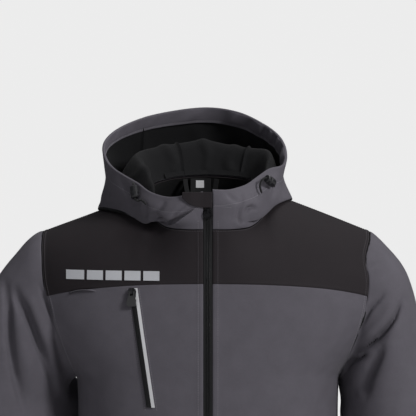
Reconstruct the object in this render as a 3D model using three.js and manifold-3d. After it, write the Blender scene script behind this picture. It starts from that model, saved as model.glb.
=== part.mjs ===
// A hooded softshell jacket, closed at the front and filled out as if worn, with nobody in it.
// Millimetres, +Z up. The front faces -Y and +X is the viewer's right.
// The origin lies on the neck's axis, level with the points where the shoulders meet the neck.
import * as THREE from 'three';
import Module from 'manifold-3d';
import { mergeVertices } from 'three/addons/utils/BufferGeometryUtils.js';

const wasm = await Module();
wasm.setup();

// Driving sizes
const CLOTH = 1.5;
const SEAM_GAP = 0.4;
const LAID_GAP = 0.6;
const HEM_Z = -711;
const ARMPIT_Z = -275;
const ARMPIT_CENTRE_Z = -255;
const FRONT_EDGE_X = 6.7;
const SHOULDER_NECK = [88, 4, -1];
const SEAM_SHARE = 0.52;
const ARMPIT_SHARE = 0.27;
const FULLNESS = 0.06;
const YOKE_NECK_SHARE = 0.42;
const LEFT_SPREAD = 7;
const BODY_SPREADS = { left: 4, right: 4 };
const LEFT_TWIST = 0.5;

// Colours and finishes
const GREY = { color: 0x5c5961, roughness: 0.85, metalness: 0 };
const BLACK = { color: 0x262227, roughness: 0.85, metalness: 0 };
const TRIM = { color: 0x17171a, roughness: 0.5, metalness: 0 };
const METAL = { color: 0x2a2a2d, roughness: 0.4, metalness: 0.7 };
const WHITE = { color: 0xe8e8ea, roughness: 0.6, metalness: 0 };
const REFLECTIVE = { color: 0xc9cacf, roughness: 0.45, metalness: 0 };

// Small helpers for numbers and points
const clamp = (value, low, high) => Math.min(Math.max(value, low), high);
const lerp = (a, b, t) => a + (b - a) * t;
const mix = (a, b, t) => a.map((value, i) => lerp(value, b[i], t));
const add = (a, b, scale = 1) => a.map((value, i) => value + b[i] * scale);
const minus = (a, b) => a.map((value, i) => value - b[i]);
const smooth = t => { const c = clamp(t, 0, 1); return c * c * (3 - 2 * c); };
const length = a => Math.hypot(...a);
const unit = a => a.map(value => value / (length(a) || 1));
const cross = (a, b) => [
  a[1] * b[2] - a[2] * b[1],
  a[2] * b[0] - a[0] * b[2],
  a[0] * b[1] - a[1] * b[0],
];
const hermite = (a, slopeA, b, slopeB, t) => {
  const t2 = t * t;
  const t3 = t2 * t;
  return a * (2 * t3 - 3 * t2 + 1) + slopeA * (t3 - 2 * t2 + t)
    + b * (3 * t2 - 2 * t3) + slopeB * (t3 - t2);
};
const steps = count => Array.from({ length: count + 1 }, (_, i) => i / count);

// Short tables whose rows are read by the names of their columns
const table = (names, values) =>
  values.map(row => Object.fromEntries(names.map((name, i) => [name, row[i]])));

function read(rows, key, at, name) {
  const last = rows.length - 1;
  const rising = rows[last][key] > rows[0][key];
  let i = 0;
  while (i < last - 1 && (rising ? at > rows[i + 1][key] : at < rows[i + 1][key])) i += 1;
  const slope = j => {
    const before = rows[Math.max(j - 1, 0)];
    const after = rows[Math.min(j + 1, last)];
    return (after[name] - before[name]) / (after[key] - before[key]);
  };
  const span = rows[i + 1][key] - rows[i][key];
  const t = clamp((at - rows[i][key]) / span, 0, 1);
  return hermite(rows[i][name], slope(i) * span, rows[i + 1][name], slope(i + 1) * span, t);
}

const readPoint = (rows, key, at) => ['x', 'y', 'z'].map(name => read(rows, key, at, name));

// Side view of the body: depth of the front and of the back on the centre line
const FRONT_PROFILE = table(['z', 'y'], [
  [10, -107], [-25, -105], [-51, -104], [-90, -117], [-126, -127], [-200, -138],
  [-275, -140], [-400, -134], [-520, -131], [-711, -137],
]);
const BACK_PROFILE = table(['z', 'y'], [
  [19, 70], [-20, 96], [-70, 117], [-150, 129], [-275, 126], [-400, 113], [-520, 111], [-711, 128],
]);

// Half width of the body below the armpits
const SIDE = table(['z', 'x'], [
  [-275, 193], [-331, 188], [-450, 185], [-560, 188], [-711, 197],
]);

// The armhole seam from the shoulder point (share 0) down to the armpit (share 1)
const ARMHOLE_FRONT = table(['share', 'x', 'y', 'z'], [
  [0, 237, 4, -59], [0.12, 236, -28, -68], [0.25, 233, -52, -90], [0.4, 232, -68, -120],
  [0.52, 230, -75, -148], [0.62, 226, -77, -173], [0.74, 217, -69, -203],
  [0.87, 204, -45, -241], [1, 193, 0, -275],
]);
const ARMHOLE_BACK = table(['share', 'x', 'y', 'z'], [
  [0, 237, 4, -59], [0.12, 235, 34, -68], [0.25, 231, 58, -90], [0.4, 227, 75, -120],
  [0.52, 224, 81, -148], [0.62, 221, 81, -175], [0.74, 214, 72, -206],
  [0.87, 204, 46, -243], [1, 193, 0, -275],
]);

// The neck seam by angle round the neck, 0 at the front and 180 at the back
const NECK = table(['angle', 'x', 'y', 'z'], [
  [0, 0, -104, -51], [20, 34, -101, -51], [38, 58, -87, -49], [52, 72, -68, -42],
  [66, 82, -46, -31], [82, 88, -20, -14], [97, 88, 4, -1], [115, 82, 28, 8],
  [140, 58, 52, 15], [160, 30, 65, 18], [180, 0, 70, 19],
]);

const FRONT = {
  profile: FRONT_PROFILE,
  armhole: ARMHOLE_FRONT,
  seamZ: -126,
  seamRound: 0.4,
  edgeX: FRONT_EDGE_X,
  neckStart: 4,
  neckRound: 0.2,
};
const BACK = {
  profile: BACK_PROFILE,
  armhole: ARMHOLE_BACK,
  seamZ: -148,
  seamRound: 0.45,
  edgeX: 0,
  neckStart: 180,
  neckRound: 0.55,
};

// Lower fronts and back: u runs from the centre to the side, v from the yoke seam to the hem
function lowerPanel(side, u, v) {
  const above = v < ARMPIT_SHARE;
  const fall = above ? v / ARMPIT_SHARE : (v - ARMPIT_SHARE) / (1 - ARMPIT_SHARE);
  const z = above ? lerp(side.seamZ, ARMPIT_CENTRE_Z, fall) : lerp(ARMPIT_CENTRE_Z, HEM_Z, fall);
  const edgeZ = lerp(ARMPIT_Z, HEM_Z, fall);
  const edge = above
    ? readPoint(side.armhole, 'share', lerp(SEAM_SHARE, 1, fall))
    : [read(SIDE, 'z', edgeZ, 'x'), 0, edgeZ];
  const middle = [side.edgeX, read(side.profile, 'z', z, 'y'), z];
  const round = above ? lerp(side.seamRound, 1, fall) : 1;
  const turn = u * Math.PI / 2;
  const full = 1 + FULLNESS * Math.sin(u * Math.PI) ** 2;
  const across = lerp(u, Math.sin(turn) * full, round);
  const depth = lerp(1 - u * u, Math.cos(turn) * full, round);
  return [
    lerp(middle[0], edge[0], across),
    lerp(edge[1], middle[1], depth),
    lerp(middle[2], edge[2], u * u),
  ];
}

// Yokes: u runs from the centre to the armhole, v from the yoke seam to the neck and shoulder seams
function yokeTop(side, u) {
  if (u < YOKE_NECK_SHARE) {
    return readPoint(NECK, 'angle', lerp(side.neckStart, 97, u / YOKE_NECK_SHARE));
  }
  const tip = readPoint(side.armhole, 'share', 0);
  return mix(SHOULDER_NECK, tip, (u - YOKE_NECK_SHARE) / (1 - YOKE_NECK_SHARE));
}

function yokeArc(side, u, v) {
  const low = lowerPanel(side, u, 0);
  const high = yokeTop(side, u);
  const round = lerp(side.neckRound, 1, u ** 1.5);
  const turn = v * Math.PI / 2;
  const full = 1 + FULLNESS * Math.sin(v * Math.PI) ** 2;
  const rise = lerp(v, Math.sin(turn) * full, round);
  const depth = lerp(1 - v, Math.cos(turn) * full, round);
  return [lerp(low[0], high[0], v), lerp(high[1], low[1], depth), lerp(low[2], high[2], rise)];
}

function yoke(side, u, v) {
  const point = yokeArc(side, u, v);
  const seam = readPoint(side.armhole, 'share', lerp(SEAM_SHARE, 0, v));
  const fitted = add(point, minus(seam, yokeArc(side, 1, v)), u ** 5);
  const middle = yokeArc(side, 0, v);
  const profileY = read(side.profile, 'z', middle[2], 'y');
  fitted[1] += (profileY - middle[1]) * (1 - u) ** 5;
  return fitted;
}

// The armhole seams wander sideways by height: the left one out over the arm, the right one in
const SEAM_SHIFTS = {
  left: table(['z', 'shift'], [[-40, 3], [-59, 5], [-85, 8], [-126, 6], [-145, 3], [-165, 0], [-190, 0]]),
  right: table(['z', 'shift'], [[-40, 0], [-67, 0], [-96, -4.5], [-126, 0], [-160, 0]]),
};
const SHIFT_REACH = { start: 170, full: 230, hold: 240, end: 285 };

function shifted([x, y, z]) {
  const { start, full, hold, end } = SHIFT_REACH;
  const away = Math.abs(x);
  const share = smooth((away - start) / (full - start)) * smooth((end - away) / (end - hold));
  const shift = read(x < 0 ? SEAM_SHIFTS.left : SEAM_SHIFTS.right, 'z', z, 'shift');
  return [x + Math.sign(x) * shift * share, y, z];
}

// Soft creases, each a line seen from the front with a width and a depth
const crease = (width, depth, face, line) => ({ width, depth, face, line });
const LEFT_SLEEVE_CREASES = [
  crease(8, 7, -1, [[-280, -143], [-262, -169], [-250, -196], [-240, -225], [-229, -254], [-220, -275]]),
  crease(7, 5, -1, [[-291, -130], [-287, -169], [-285, -211], [-279, -254], [-269, -297], [-256, -335]]),
  crease(6, 3, -1, [[-240, -138], [-231, -159], [-223, -180], [-218, -202]]),
  crease(9, 18, -1, [[-219, -205], [-211, -235], [-205, -270], [-207, -310], [-213, -360], [-222, -420]]),
  crease(12, 5, -1, [[-330, -330], [-280, -372], [-240, -382]]),
  crease(12, 5, -1, [[-345, -420], [-300, -436], [-262, -425]]),
  crease(10, 4, -1, [[-350, -470], [-310, -500], [-276, -505]]),
  crease(10, 4, 1, [[-300, -150], [-262, -215], [-232, -262]]),
  crease(12, 5, 1, [[-325, -240], [-272, -300], [-232, -330]]),
  crease(12, 4, 1, [[-345, -380], [-300, -420], [-262, -428]]),
];
const RIGHT_SLEEVE_CREASES = [
  crease(5, 4, -1, [[252, -146], [234, -165], [223, -185], [213, -204]]),
  crease(7, 7, -1, [[279, -156], [269, -179], [259, -193], [244, -208], [227, -219], [205, -231]]),
  crease(9, 6, -1, [[256, -212], [239, -245], [229, -268], [226, -292]]),
  crease(8, 12, -1, [[221, -205], [209, -232], [201, -262], [203, -300], [210, -350]]),
  crease(12, 5, -1, [[325, -340], [275, -378], [232, -384]]),
  crease(12, 5, -1, [[338, -430], [295, -440], [255, -428]]),
  crease(10, 4, -1, [[345, -480], [305, -505], [270, -510]]),
  crease(10, 4, 1, [[290, -150], [255, -215], [226, -262]]),
  crease(12, 5, 1, [[318, -240], [266, -300], [224, -330]]),
  crease(12, 4, 1, [[338, -380], [292, -420], [255, -428]]),
];
const BODY_CREASES = [
  crease(13, 4, -1, [[-208, -215], [-172, -300], [-150, -390]]),
  crease(13, 4, -1, [[202, -225], [165, -310], [142, -400]]),
  crease(16, 4, -1, [[-176, -470], [-120, -520], [-60, -560]]),
  crease(16, 4, -1, [[172, -450], [110, -500], [52, -530]]),
  crease(15, 4, 1, [[-200, -240], [-150, -330], [-120, -420]]),
  crease(15, 4, 1, [[196, -240], [146, -330], [112, -430]]),
  crease(18, 4, 1, [[-150, -470], [-50, -510], [60, -500]]),
  crease(18, 4, 1, [[150, -540], [60, -575], [-40, -570]]),
];

function creaseDepth(creases, x, z, face) {
  let total = 0;
  for (const { width, depth, face: side, line } of creases) {
    if (side !== face) continue;
    const last = line.length - 1;
    let nearest = Infinity;
    let share = 0;
    for (let i = 0; i < last; i += 1) {
      const along = [line[i + 1][0] - line[i][0], line[i + 1][1] - line[i][1]];
      const from = [x - line[i][0], z - line[i][1]];
      const t = clamp((from[0] * along[0] + from[1] * along[1]) / (along[0] ** 2 + along[1] ** 2), 0, 1);
      const away = Math.hypot(from[0] - along[0] * t, from[1] - along[1] * t);
      if (away < nearest) {
        nearest = away;
        share = (i + t) / last;
      }
    }
    const fade = Math.sin(Math.PI * clamp(share, 0.02, 0.98)) ** 0.6;
    total += depth * fade * Math.exp(-((nearest / width) ** 2));
  }
  return total;
}

// Grids of points, rows of equal length, and the walls made from them
const grid = (vs, us, point) => vs.map(v => us.map(u => point(u, v)));

function normals(points, closed, flip) {
  const count = points.length;
  const width = points[0].length;
  return points.map((row, j) => row.map((_, i) => {
    const before = closed ? row[(i + width - 1) % width] : row[Math.max(i - 1, 0)];
    const after = closed ? row[(i + 1) % width] : row[Math.min(i + 1, width - 1)];
    const above = points[Math.max(j - 1, 0)][i];
    const below = points[Math.min(j + 1, count - 1)][i];
    return unit(cross(minus(after, before), minus(below, above))).map(value => value * flip);
  }));
}

const moved = (points, directions, distance) =>
  points.map((row, j) => row.map((point, i) => add(point, directions[j][i], distance(point, j, i))));

function solid(positions, triangles) {
  const geometry = new THREE.BufferGeometry();
  geometry.setAttribute('position', new THREE.Float32BufferAttribute(positions.flat(), 3));
  geometry.setIndex(triangles.flat());
  geometry.computeVertexNormals();
  return geometry;
}

// A closed wall between an outer grid and an inner one
function wallBetween(outer, inner, closed, flip) {
  const count = outer.length;
  const width = outer[0].length;
  const positions = [...outer.flat(), ...inner.flat()];
  const at = (layer, j, i) => layer * count * width + j * width + (closed ? i % width : i);
  const triangles = [];
  const quad = (a, b, c, d) => {
    triangles.push(...(flip > 0 ? [[a, b, c], [a, c, d]] : [[a, c, b], [a, d, c]]));
  };
  const cells = closed ? width : width - 1;
  for (let j = 0; j < count - 1; j += 1) {
    for (let i = 0; i < cells; i += 1) {
      quad(at(0, j, i), at(0, j, i + 1), at(0, j + 1, i + 1), at(0, j + 1, i));
      quad(at(1, j, i), at(1, j + 1, i), at(1, j + 1, i + 1), at(1, j, i + 1));
    }
  }
  for (let i = 0; i < cells; i += 1) {
    quad(at(0, 0, i), at(1, 0, i), at(1, 0, i + 1), at(0, 0, i + 1));
    quad(at(0, count - 1, i), at(0, count - 1, i + 1), at(1, count - 1, i + 1), at(1, count - 1, i));
  }
  if (!closed) {
    for (let j = 0; j < count - 1; j += 1) {
      quad(at(0, j, 0), at(0, j + 1, 0), at(1, j + 1, 0), at(1, j, 0));
      quad(at(0, j, width - 1), at(1, j, width - 1), at(1, j + 1, width - 1), at(0, j + 1, width - 1));
    }
  }
  return solid(positions, triangles);
}

// Cloth whose face is the grid: flip is 1 where the grid's own normals point out of the garment
function cloth(points, { closed = false, flip = 1, thick = CLOTH, square = null } = {}) {
  const out = normals(points, closed, flip);
  if (square) square(out);
  return wallBetween(points, moved(points, out, () => -thick), closed, flip);
}

// Something laid on a panel: its face stands off the panel by its gap and its thickness
function laid(points, { flip = 1, thick = 1, gap = LAID_GAP } = {}) {
  const out = normals(points, false, flip);
  return wallBetween(
    moved(points, out, () => gap + thick), moved(points, out, () => gap), false, flip);
}

const group = new THREE.Group();
function piece(name, geometry, finish, parent = group) {
  const mesh = new THREE.Mesh(geometry, new THREE.MeshStandardMaterial(finish));
  mesh.name = name;
  parent.add(mesh);
  return mesh;
}

const mirrored = (point, sign) => [point[0] * sign, point[1], point[2]];

// Body panels
const YOKE_ROWS = 8;
const ARM_ROWS = 5;
const BODY_ROWS = 9;
const LOWER_VS = [
  ...steps(ARM_ROWS).map(t => t * ARMPIT_SHARE),
  ...steps(BODY_ROWS).slice(1).map(t => lerp(ARMPIT_SHARE, 1, t)),
];
const YOKE_VS = steps(YOKE_ROWS);
const YOKE_US = [
  ...steps(6).map(t => t * YOKE_NECK_SHARE),
  ...steps(6).slice(1).map(t => lerp(YOKE_NECK_SHARE, 1, t)),
];

function bodyGrid(side, sign, us, face) {
  const points = grid(LOWER_VS, us, (u, v) => {
    const point = mirrored(lowerPanel(side, Math.abs(u), v), sign * (u < 0 ? -1 : 1));
    const share = Math.abs(u) ** 3 * smooth((v - ARMPIT_SHARE) / 0.12);
    const spread = point[0] < 0 ? -BODY_SPREADS.left : BODY_SPREADS.right;
    return shifted([point[0] + spread * share, point[1], point[2]]);
  });
  const flip = side === FRONT ? sign : -sign;
  const out = normals(points, false, -flip);
  const creased = moved(points, out, (point, j, i) =>
    -creaseDepth(BODY_CREASES, point[0], point[2], face) * (1 - Math.abs(us[i]) ** 6));
  creased[0] = creased[0].map(point => add(point, [0, 0, -SEAM_GAP]));
  return { points: creased, flip: -flip };
}

// At the side seams the two walls meet square on, so neither leans into the other
function squareSides(out) {
  for (const row of out.slice(ARM_ROWS)) {
    for (const i of [0, row.length - 1]) {
      if (Math.abs(row[i][0]) > Math.abs(row[i][1])) row[i] = unit([row[i][0], 0, row[i][2]]);
    }
  }
}

// The same along the shoulder seams
const squareShoulders = us => out => {
  const seam = out[out.length - 1];
  us.forEach((u, i) => {
    if (Math.abs(u) > YOKE_NECK_SHARE * 0.8) seam[i] = unit([seam[i][0], 0, seam[i][2]]);
  });
};

for (const [name, sign] of [['left', -1], ['right', 1]]) {
  const front = bodyGrid(FRONT, sign, steps(12), -1);
  front.points.forEach(row => { row[row.length - 1][1] -= SEAM_GAP / 2; });
  piece(`front_${name}`, cloth(front.points, { flip: front.flip, square: squareSides }), GREY);
  const top = grid(YOKE_VS, YOKE_US, (u, v) => shifted(mirrored(yoke(FRONT, u, v), sign)));
  top[YOKE_ROWS] = top[YOKE_ROWS].map(point => add(point, [0, -SEAM_GAP / 2, 0]));
  piece(`front_yoke_${name}`, cloth(top, { flip: sign, square: squareShoulders(YOKE_US) }), BLACK);
}

const backUs = steps(22).map(t => t * 2 - 1);
const backLower = bodyGrid(BACK, 1, backUs, 1);
backLower.points.forEach(row => {
  row[0][1] += SEAM_GAP / 2;
  row[row.length - 1][1] += SEAM_GAP / 2;
});
piece('back_panel', cloth(backLower.points, { flip: backLower.flip, square: squareSides }), GREY);

const backYokeUs = [...YOKE_US.slice(1).reverse().map(u => -u), ...YOKE_US];
const backTop = grid(YOKE_VS, backYokeUs, (u, v) =>
  shifted(mirrored(yoke(BACK, Math.abs(u), v), u < 0 ? -1 : 1)));
backTop[YOKE_ROWS] = backTop[YOKE_ROWS].map(point => add(point, [0, SEAM_GAP / 2, 0]));
piece('back_yoke', cloth(backTop, { flip: -1, square: squareShoulders(backYokeUs) }), BLACK);

// Sleeves: each row gives the outer and inner edge seen from the front, and the depths in front and behind
const SLEEVE = table(['row', 'outX', 'outZ', 'inX', 'inZ', 'front', 'back', 'bulge'], [
  [0, 237, -59, 193, -275, -76, 81, 15],
  [1, 247, -63, 196, -281, -77, 81, 19],
  [2, 261, -76, 199, -289, -79, 82, 20],
  [3, 277, -97, 201, -299, -81, 81, 17],
  [4, 291, -124, 201, -311, -83, 80, 12],
  [5, 304, -164, 200, -326, -84, 78, 8],
  [6, 314, -215, 201, -345, -85, 75, 4],
  [7, 324, -272, 204, -372, -86, 70, 1],
  [8, 334, -330, 210, -408, -87, 63, 0],
  [9, 344, -392, 220, -452, -89, 50, 0],
  [10, 352, -452, 233, -502, -93, 36, 0],
  [11, 359, -515, 249, -556, -97, 20, 0],
  [12, 365, -580, 267, -612, -100, 2, 0],
  [13, 370, -668, 288, -690, -100, -16, 0],
]);
const SLEEVE_RINGS = 18;
const CUFF_ROW = 13;
const ARMHOLE_FADE = 4;

// Behind the body's side the sleeve tucks in, so that it closes the gap seen from the front
const TUCKS = {
  left: { depth: 17, place: 0.62 },
  right: { depth: 8, place: 0.2 },
};
const TUCK_WIDTH = 28;
const ARMHOLE_SHARES = [
  ...YOKE_VS.map(v => lerp(0, SEAM_SHARE, v)),
  ...steps(ARM_ROWS).slice(1).map(t => lerp(SEAM_SHARE, 1, t)),
];

function sleevePoint(row, share, back) {
  const seam = readPoint(back ? ARMHOLE_BACK : ARMHOLE_FRONT, 'share', share);
  const value = name => read(SLEEVE, 'row', row, name);
  const fallen = clamp((seam[2] - SLEEVE[0].outZ) / (SLEEVE[0].inZ - SLEEVE[0].outZ), 0, 1);
  const turn = Math.acos(1 - 2 * fallen);
  const middleY = (value('front') + value('back')) / 2;
  const halfY = (value('back') - value('front')) / 2;
  const ring = [
    lerp(value('inX'), value('outX'), (1 + Math.cos(turn)) / 2) + value('bulge') * Math.sin(turn),
    middleY + Math.sin(turn) * halfY * (back ? 1 : -1),
    lerp(value('inZ'), value('outZ'), (1 + Math.cos(turn)) / 2),
  ];
  return mix(seam, ring, smooth(row / ARMHOLE_FADE));
}

function sleeveGrid(sign) {
  const around = [
    ...ARMHOLE_SHARES.map(share => [share, false]),
    ...ARMHOLE_SHARES.slice(1, -1).reverse().map(share => [share, true]),
  ];
  const points = steps(SLEEVE_RINGS).map(t => around.map(([share, back]) => {
    const row = t * CUFF_ROW;
    const point = sleevePoint(row, share, back);
    const value = name => read(SLEEVE, 'row', row, name);
    const middleY = (value('front') + value('back')) / 2;
    const halfY = (value('back') - value('front')) / 2;
    const middleX = (value('inX') + value('outX')) / 2;
    const twist = LEFT_TWIST * smooth((row - 2) / 3) * smooth((14 - row) / 5);
    const spread = sign < 0 ? LEFT_SPREAD * smooth(row / 3) - twist * (point[1] - middleY) : 0;
    const { depth, place } = sign < 0 ? TUCKS.left : TUCKS.right;
    const behind = Math.exp(-(((point[1] - middleY - halfY * place) / TUCK_WIDTH) ** 2));
    const inner = smooth((middleX - point[0]) / 40) * smooth((row - 0.5) / 2.5) * smooth((12 - row) / 3);
    const tuck = depth * behind * inner;
    return shifted([sign * (point[0] + SEAM_GAP * 1.5 + spread - tuck), point[1], point[2]]);
  }));
  const out = normals(points, true, sign);
  const creases = sign < 0 ? LEFT_SLEEVE_CREASES : RIGHT_SLEEVE_CREASES;
  return moved(points, out, (point, j, i) => {
    const face = around[i][1] ? 1 : -1;
    const edge = Math.sin(around[i][0] * Math.PI) ** 0.5;
    return -creaseDepth(creases, point[0], point[2], face) * edge * smooth(j / 2);
  });
}
piece('sleeve_left', cloth(sleeveGrid(-1), { closed: true, flip: -1 }), GREY);
piece('sleeve_right', cloth(sleeveGrid(1), { closed: true, flip: 1 }), GREY);

// Hood and collar in one: sections round the neck, from the left front edge, behind, to the right one.
// Each row gives the neck angle, the rim, the bag's lowest fold and the top of the fold inside it.
// hang is 0 where the cloth stands as a collar and 1 where it folds back into a bag.
const HOOD = table(
  ['angle', 'rimX', 'rimY', 'rimZ', 'bagX', 'bagY', 'bagZ', 'foldX', 'foldY', 'foldZ', 'hang', 'swell'], [
    [-4, -7, -106, 2, -7, -105, -30, -7, -104.5, -41, 0, 0],
    [-17, -33, -107, -3, -33, -107, -31, -31, -104, -41, 0, 1],
    [-33, -59, -99, -5, -58, -101, -36, -54, -96, -42, 0, 5],
    [-49, -85, -80, 2, -80, -84, -40, -68, -76, -34, 0.15, 8],
    [-64, -104, -58, 14, -92, -66, -44, -76, -52, -10, 0.5, 8],
    [-80, -128, -32, 26, -112, -44, -38, -86, -24, 22, 0.85, 6],
    [-96, -150, -6, 40, -139, -18, -34, -98, 2, 40, 1, 2],
    [-112, -157, 20, 60, -160, 14, -30, -105, 26, 50, 1, -7],
    [-128, -150, 50, 78, -146, 58, -32, -97, 52, 57, 1, 1],
    [-144, -125, 86, 95, -112, 98, -38, -68, 76, 63, 1, 14],
    [-162, -80, 116, 110, -62, 120, -44, -36, 90, 68, 1, 24],
    [-180, -8, 134, 120, -6, 130, -46, -5, 96, 71, 1, 26],
    [-198, 45, 118, 114, 44, 124, -43, 36, 89, 63, 1, 24],
    [-216, 87, 86, 95, 86, 100, -36, 66, 75, 60, 1, 14],
    [-232, 109, 52, 77, 114, 60, -24, 88, 55, 58, 1, -2],
    [-248, 117, 22, 57, 124, 14, -13, 93, 27, 49, 1, -9],
    [-264, 113, -6, 38, 112, -16, -14, 88, 2, 36, 1, -3],
    [-280, 91, -34, 33, 97, -42, -20, 82, -24, 20, 0.85, 5],
    [-296, 74, -56, 23, 83, -62, -32, 75, -50, -8, 0.5, 7],
    [-311, 56, -75, 12, 70, -80, -38, 66, -74, -34, 0.15, 8],
    [-327, 34, -94, 6, 45, -98, -36, 50, -96, -44, 0, 6],
    [-343, 20, -103, 5, 25, -104, -31, 28, -103, -42, 0, 2],
    [-356, 7, -106, 5, 7, -105, -30, 7, -104.5, -41, 0, 0],
  ]);
const HOOD_LAST = HOOD.length - 1;
const HOOD_PARTS = [3, 4, 4, 4];
const HOOD_CENTRE_ROWS = [9.6, 12.9];
const SHOULDER_CLEARANCE = 3.4;
const SAMPLE_REACH = 9;

function neckPoint(angle) {
  const turned = Math.abs(angle);
  const half = turned > 180 ? 360 - turned : turned;
  const [x, y, z] = readPoint(NECK, 'angle', half);
  return [turned > 180 ? x : -x, y, z];
}

// The yokes' faces as points with normals, so that the bag of the hood lies on the shoulders
const yokeSamples = [FRONT, BACK].flatMap(side => {
  const points = grid(steps(14), steps(28), (u, v) => yoke(side, u, v));
  const out = normals(points, false, side === FRONT ? 1 : -1);
  return points.flatMap((row, j) => row.map((point, i) => ({ point, out: out[j][i] })));
});

function clearOfYokes(point, clearance) {
  const folded = [Math.abs(point[0]), point[1], point[2]];
  let nearest = null;
  let least = Infinity;
  for (const sample of yokeSamples) {
    const away = length(minus(folded, sample.point));
    if (away < least) {
      least = away;
      nearest = sample;
    }
  }
  const away = minus(folded, nearest.point);
  const above = away.reduce((sum, value, i) => sum + value * nearest.out[i], 0);
  const lateral = Math.sqrt(Math.max(least ** 2 - above ** 2, 0));
  if (above >= clearance || lateral > SAMPLE_REACH) return point;
  const push = clearance - above;
  const sign = point[0] < 0 ? -1 : 1;
  return add(point, [nearest.out[0] * sign, nearest.out[1], nearest.out[2]], push);
}

// The five points that a section of the hood passes through, from the neck seam to the rim
function hoodSection(row) {
  const value = name => read(HOOD.map((entry, i) => ({ row: i, ...entry })), 'row', row, name);
  const neck = neckPoint(value('angle'));
  neck[2] += SEAM_GAP * 2.4;
  const point = name => [value(`${name}X`), value(`${name}Y`), value(`${name}Z`)];
  const rim = point('rim');
  const bag = point('bag');
  const fold = point('fold');
  const outward = unit([bag[0], bag[1] + 10, 0]);
  const wall = add(mix(bag, rim, 0.5), outward, value('swell'));
  return { points: [neck, fold, bag, wall, rim], hang: clamp(value('hang'), 0, 1) };
}

function hoodPoint(section, part, t) {
  const { points, hang } = section;
  const slope = j => {
    const before = points[Math.max(j - 1, 0)];
    const after = points[Math.min(j + 1, points.length - 1)];
    const along = minus(after, before).map(value => value / (j === 0 || j === points.length - 1 ? 1 : 2));
    if (j === 1 || j === 2) along[2] *= 1 - hang;
    return along;
  };
  const from = slope(part);
  const to = slope(part + 1);
  return points[part].map((value, i) => hermite(value, from[i], points[part + 1][i], to[i], t));
}

const HOOD_SHARES = HOOD_PARTS.flatMap((cells, part) =>
  steps(cells).slice(part ? 1 : 0).map(t => [part, t]));

function hoodColumn(row) {
  const section = hoodSection(row);
  return HOOD_SHARES.map(([part, t], index) => {
    const point = hoodPoint(section, part, t);
    const wanted = SHOULDER_CLEARANCE * clamp((index + 0.6) / 3, 0, 1) * smooth(section.hang * 4);
    return wanted > 0 ? clearOfYokes(point, wanted) : point;
  });
}

function hoodGrid(fromRow, toRow, cells) {
  const columns = steps(cells).map(t => hoodColumn(lerp(fromRow, toRow, t)));
  return HOOD_SHARES.map((_, j) => columns.map(column => column[j]));
}

const HOOD_SEAM = 0.012;
const hoodLeft = hoodGrid(0, HOOD_CENTRE_ROWS[0] - HOOD_SEAM, 20);
const hoodCentre = hoodGrid(HOOD_CENTRE_ROWS[0] + HOOD_SEAM, HOOD_CENTRE_ROWS[1] - HOOD_SEAM, 8);
const hoodRight = hoodGrid(HOOD_CENTRE_ROWS[1] + HOOD_SEAM, HOOD_LAST, 20);
piece('hood_side_left', cloth(hoodLeft, { flip: -1 }), GREY);
piece('hood_centre', cloth(hoodCentre, { flip: -1 }), GREY);
piece('hood_side_right', cloth(hoodRight, { flip: -1 }), GREY);

// Inside of the hood: the rim's turned hem with the gathers that its drawcord draws up
const HEM_WIDTHS = table(['row', 'width'], [
  [0, 6], [4, 7], [7, 12], [9, 17], [11, 21], [14, 24], [17, 23], [19, 10], [22, 6],
]);
const FACING_COLUMNS = 104;
const FACING_GAP = 1.4;
const GATHERS = 26;
const GATHER_DEPTH = 1.3;

function rimPoint(row, depth) {
  const section = hoodSection(row);
  const wall = length(minus(section.points[4], section.points[3]));
  return hoodPoint(section, 3, 1 - depth / wall);
}

const hemWidth = row => read(HEM_WIDTHS, 'row', row, 'width');
const facingRows = steps(FACING_COLUMNS).map(t => lerp(0.35, HOOD_LAST - 0.35, t));
const facingPoints = steps(2).map(v => facingRows.map(row => rimPoint(row, hemWidth(row) * (1 - v))));
const facingOut = normals(facingPoints, false, -1);
const gatherAt = i => {
  const along = i / FACING_COLUMNS;
  const uneven = along + 0.012 * Math.sin(along * 31);
  const strength = 0.25 + 0.75 * smooth((along - 0.42) / 0.12) * smooth((0.86 - along) / 0.1);
  return strength * (0.5 + 0.5 * Math.cos(uneven * GATHERS * 2 * Math.PI));
};
const facingFace = moved(facingPoints, facingOut, (_, j, i) =>
  -(CLOTH + FACING_GAP + 1 + GATHER_DEPTH * gatherAt(i) * (j === 1 ? 1 : 0.5)));
const facingBack = moved(facingPoints, facingOut, () => -(CLOTH + FACING_GAP));
piece('hood_hem_facing', wallBetween(facingBack, facingFace, false, -1), GREY);

// Neck tape, hanger loop and label on the inside of the back neck
const neckInside = (row, rise, inward) => {
  const section = hoodSection(row);
  const stand = length(minus(section.points[1], section.points[0]));
  const point = hoodPoint(section, 0, rise / stand);
  return add(point, unit([-point[0], -point[1], 0]), inward);
};
const TAPE_WIDTH = 7;
const tapeGrid = steps(2).map(v => steps(18).map(t => neckInside(lerp(8.4, 13.6, t), 1 + TAPE_WIDTH * v, CLOTH)));
piece('neck_tape', laid(tapeGrid, { flip: 1, thick: 1, gap: 1.4 }), TRIM);

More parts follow.
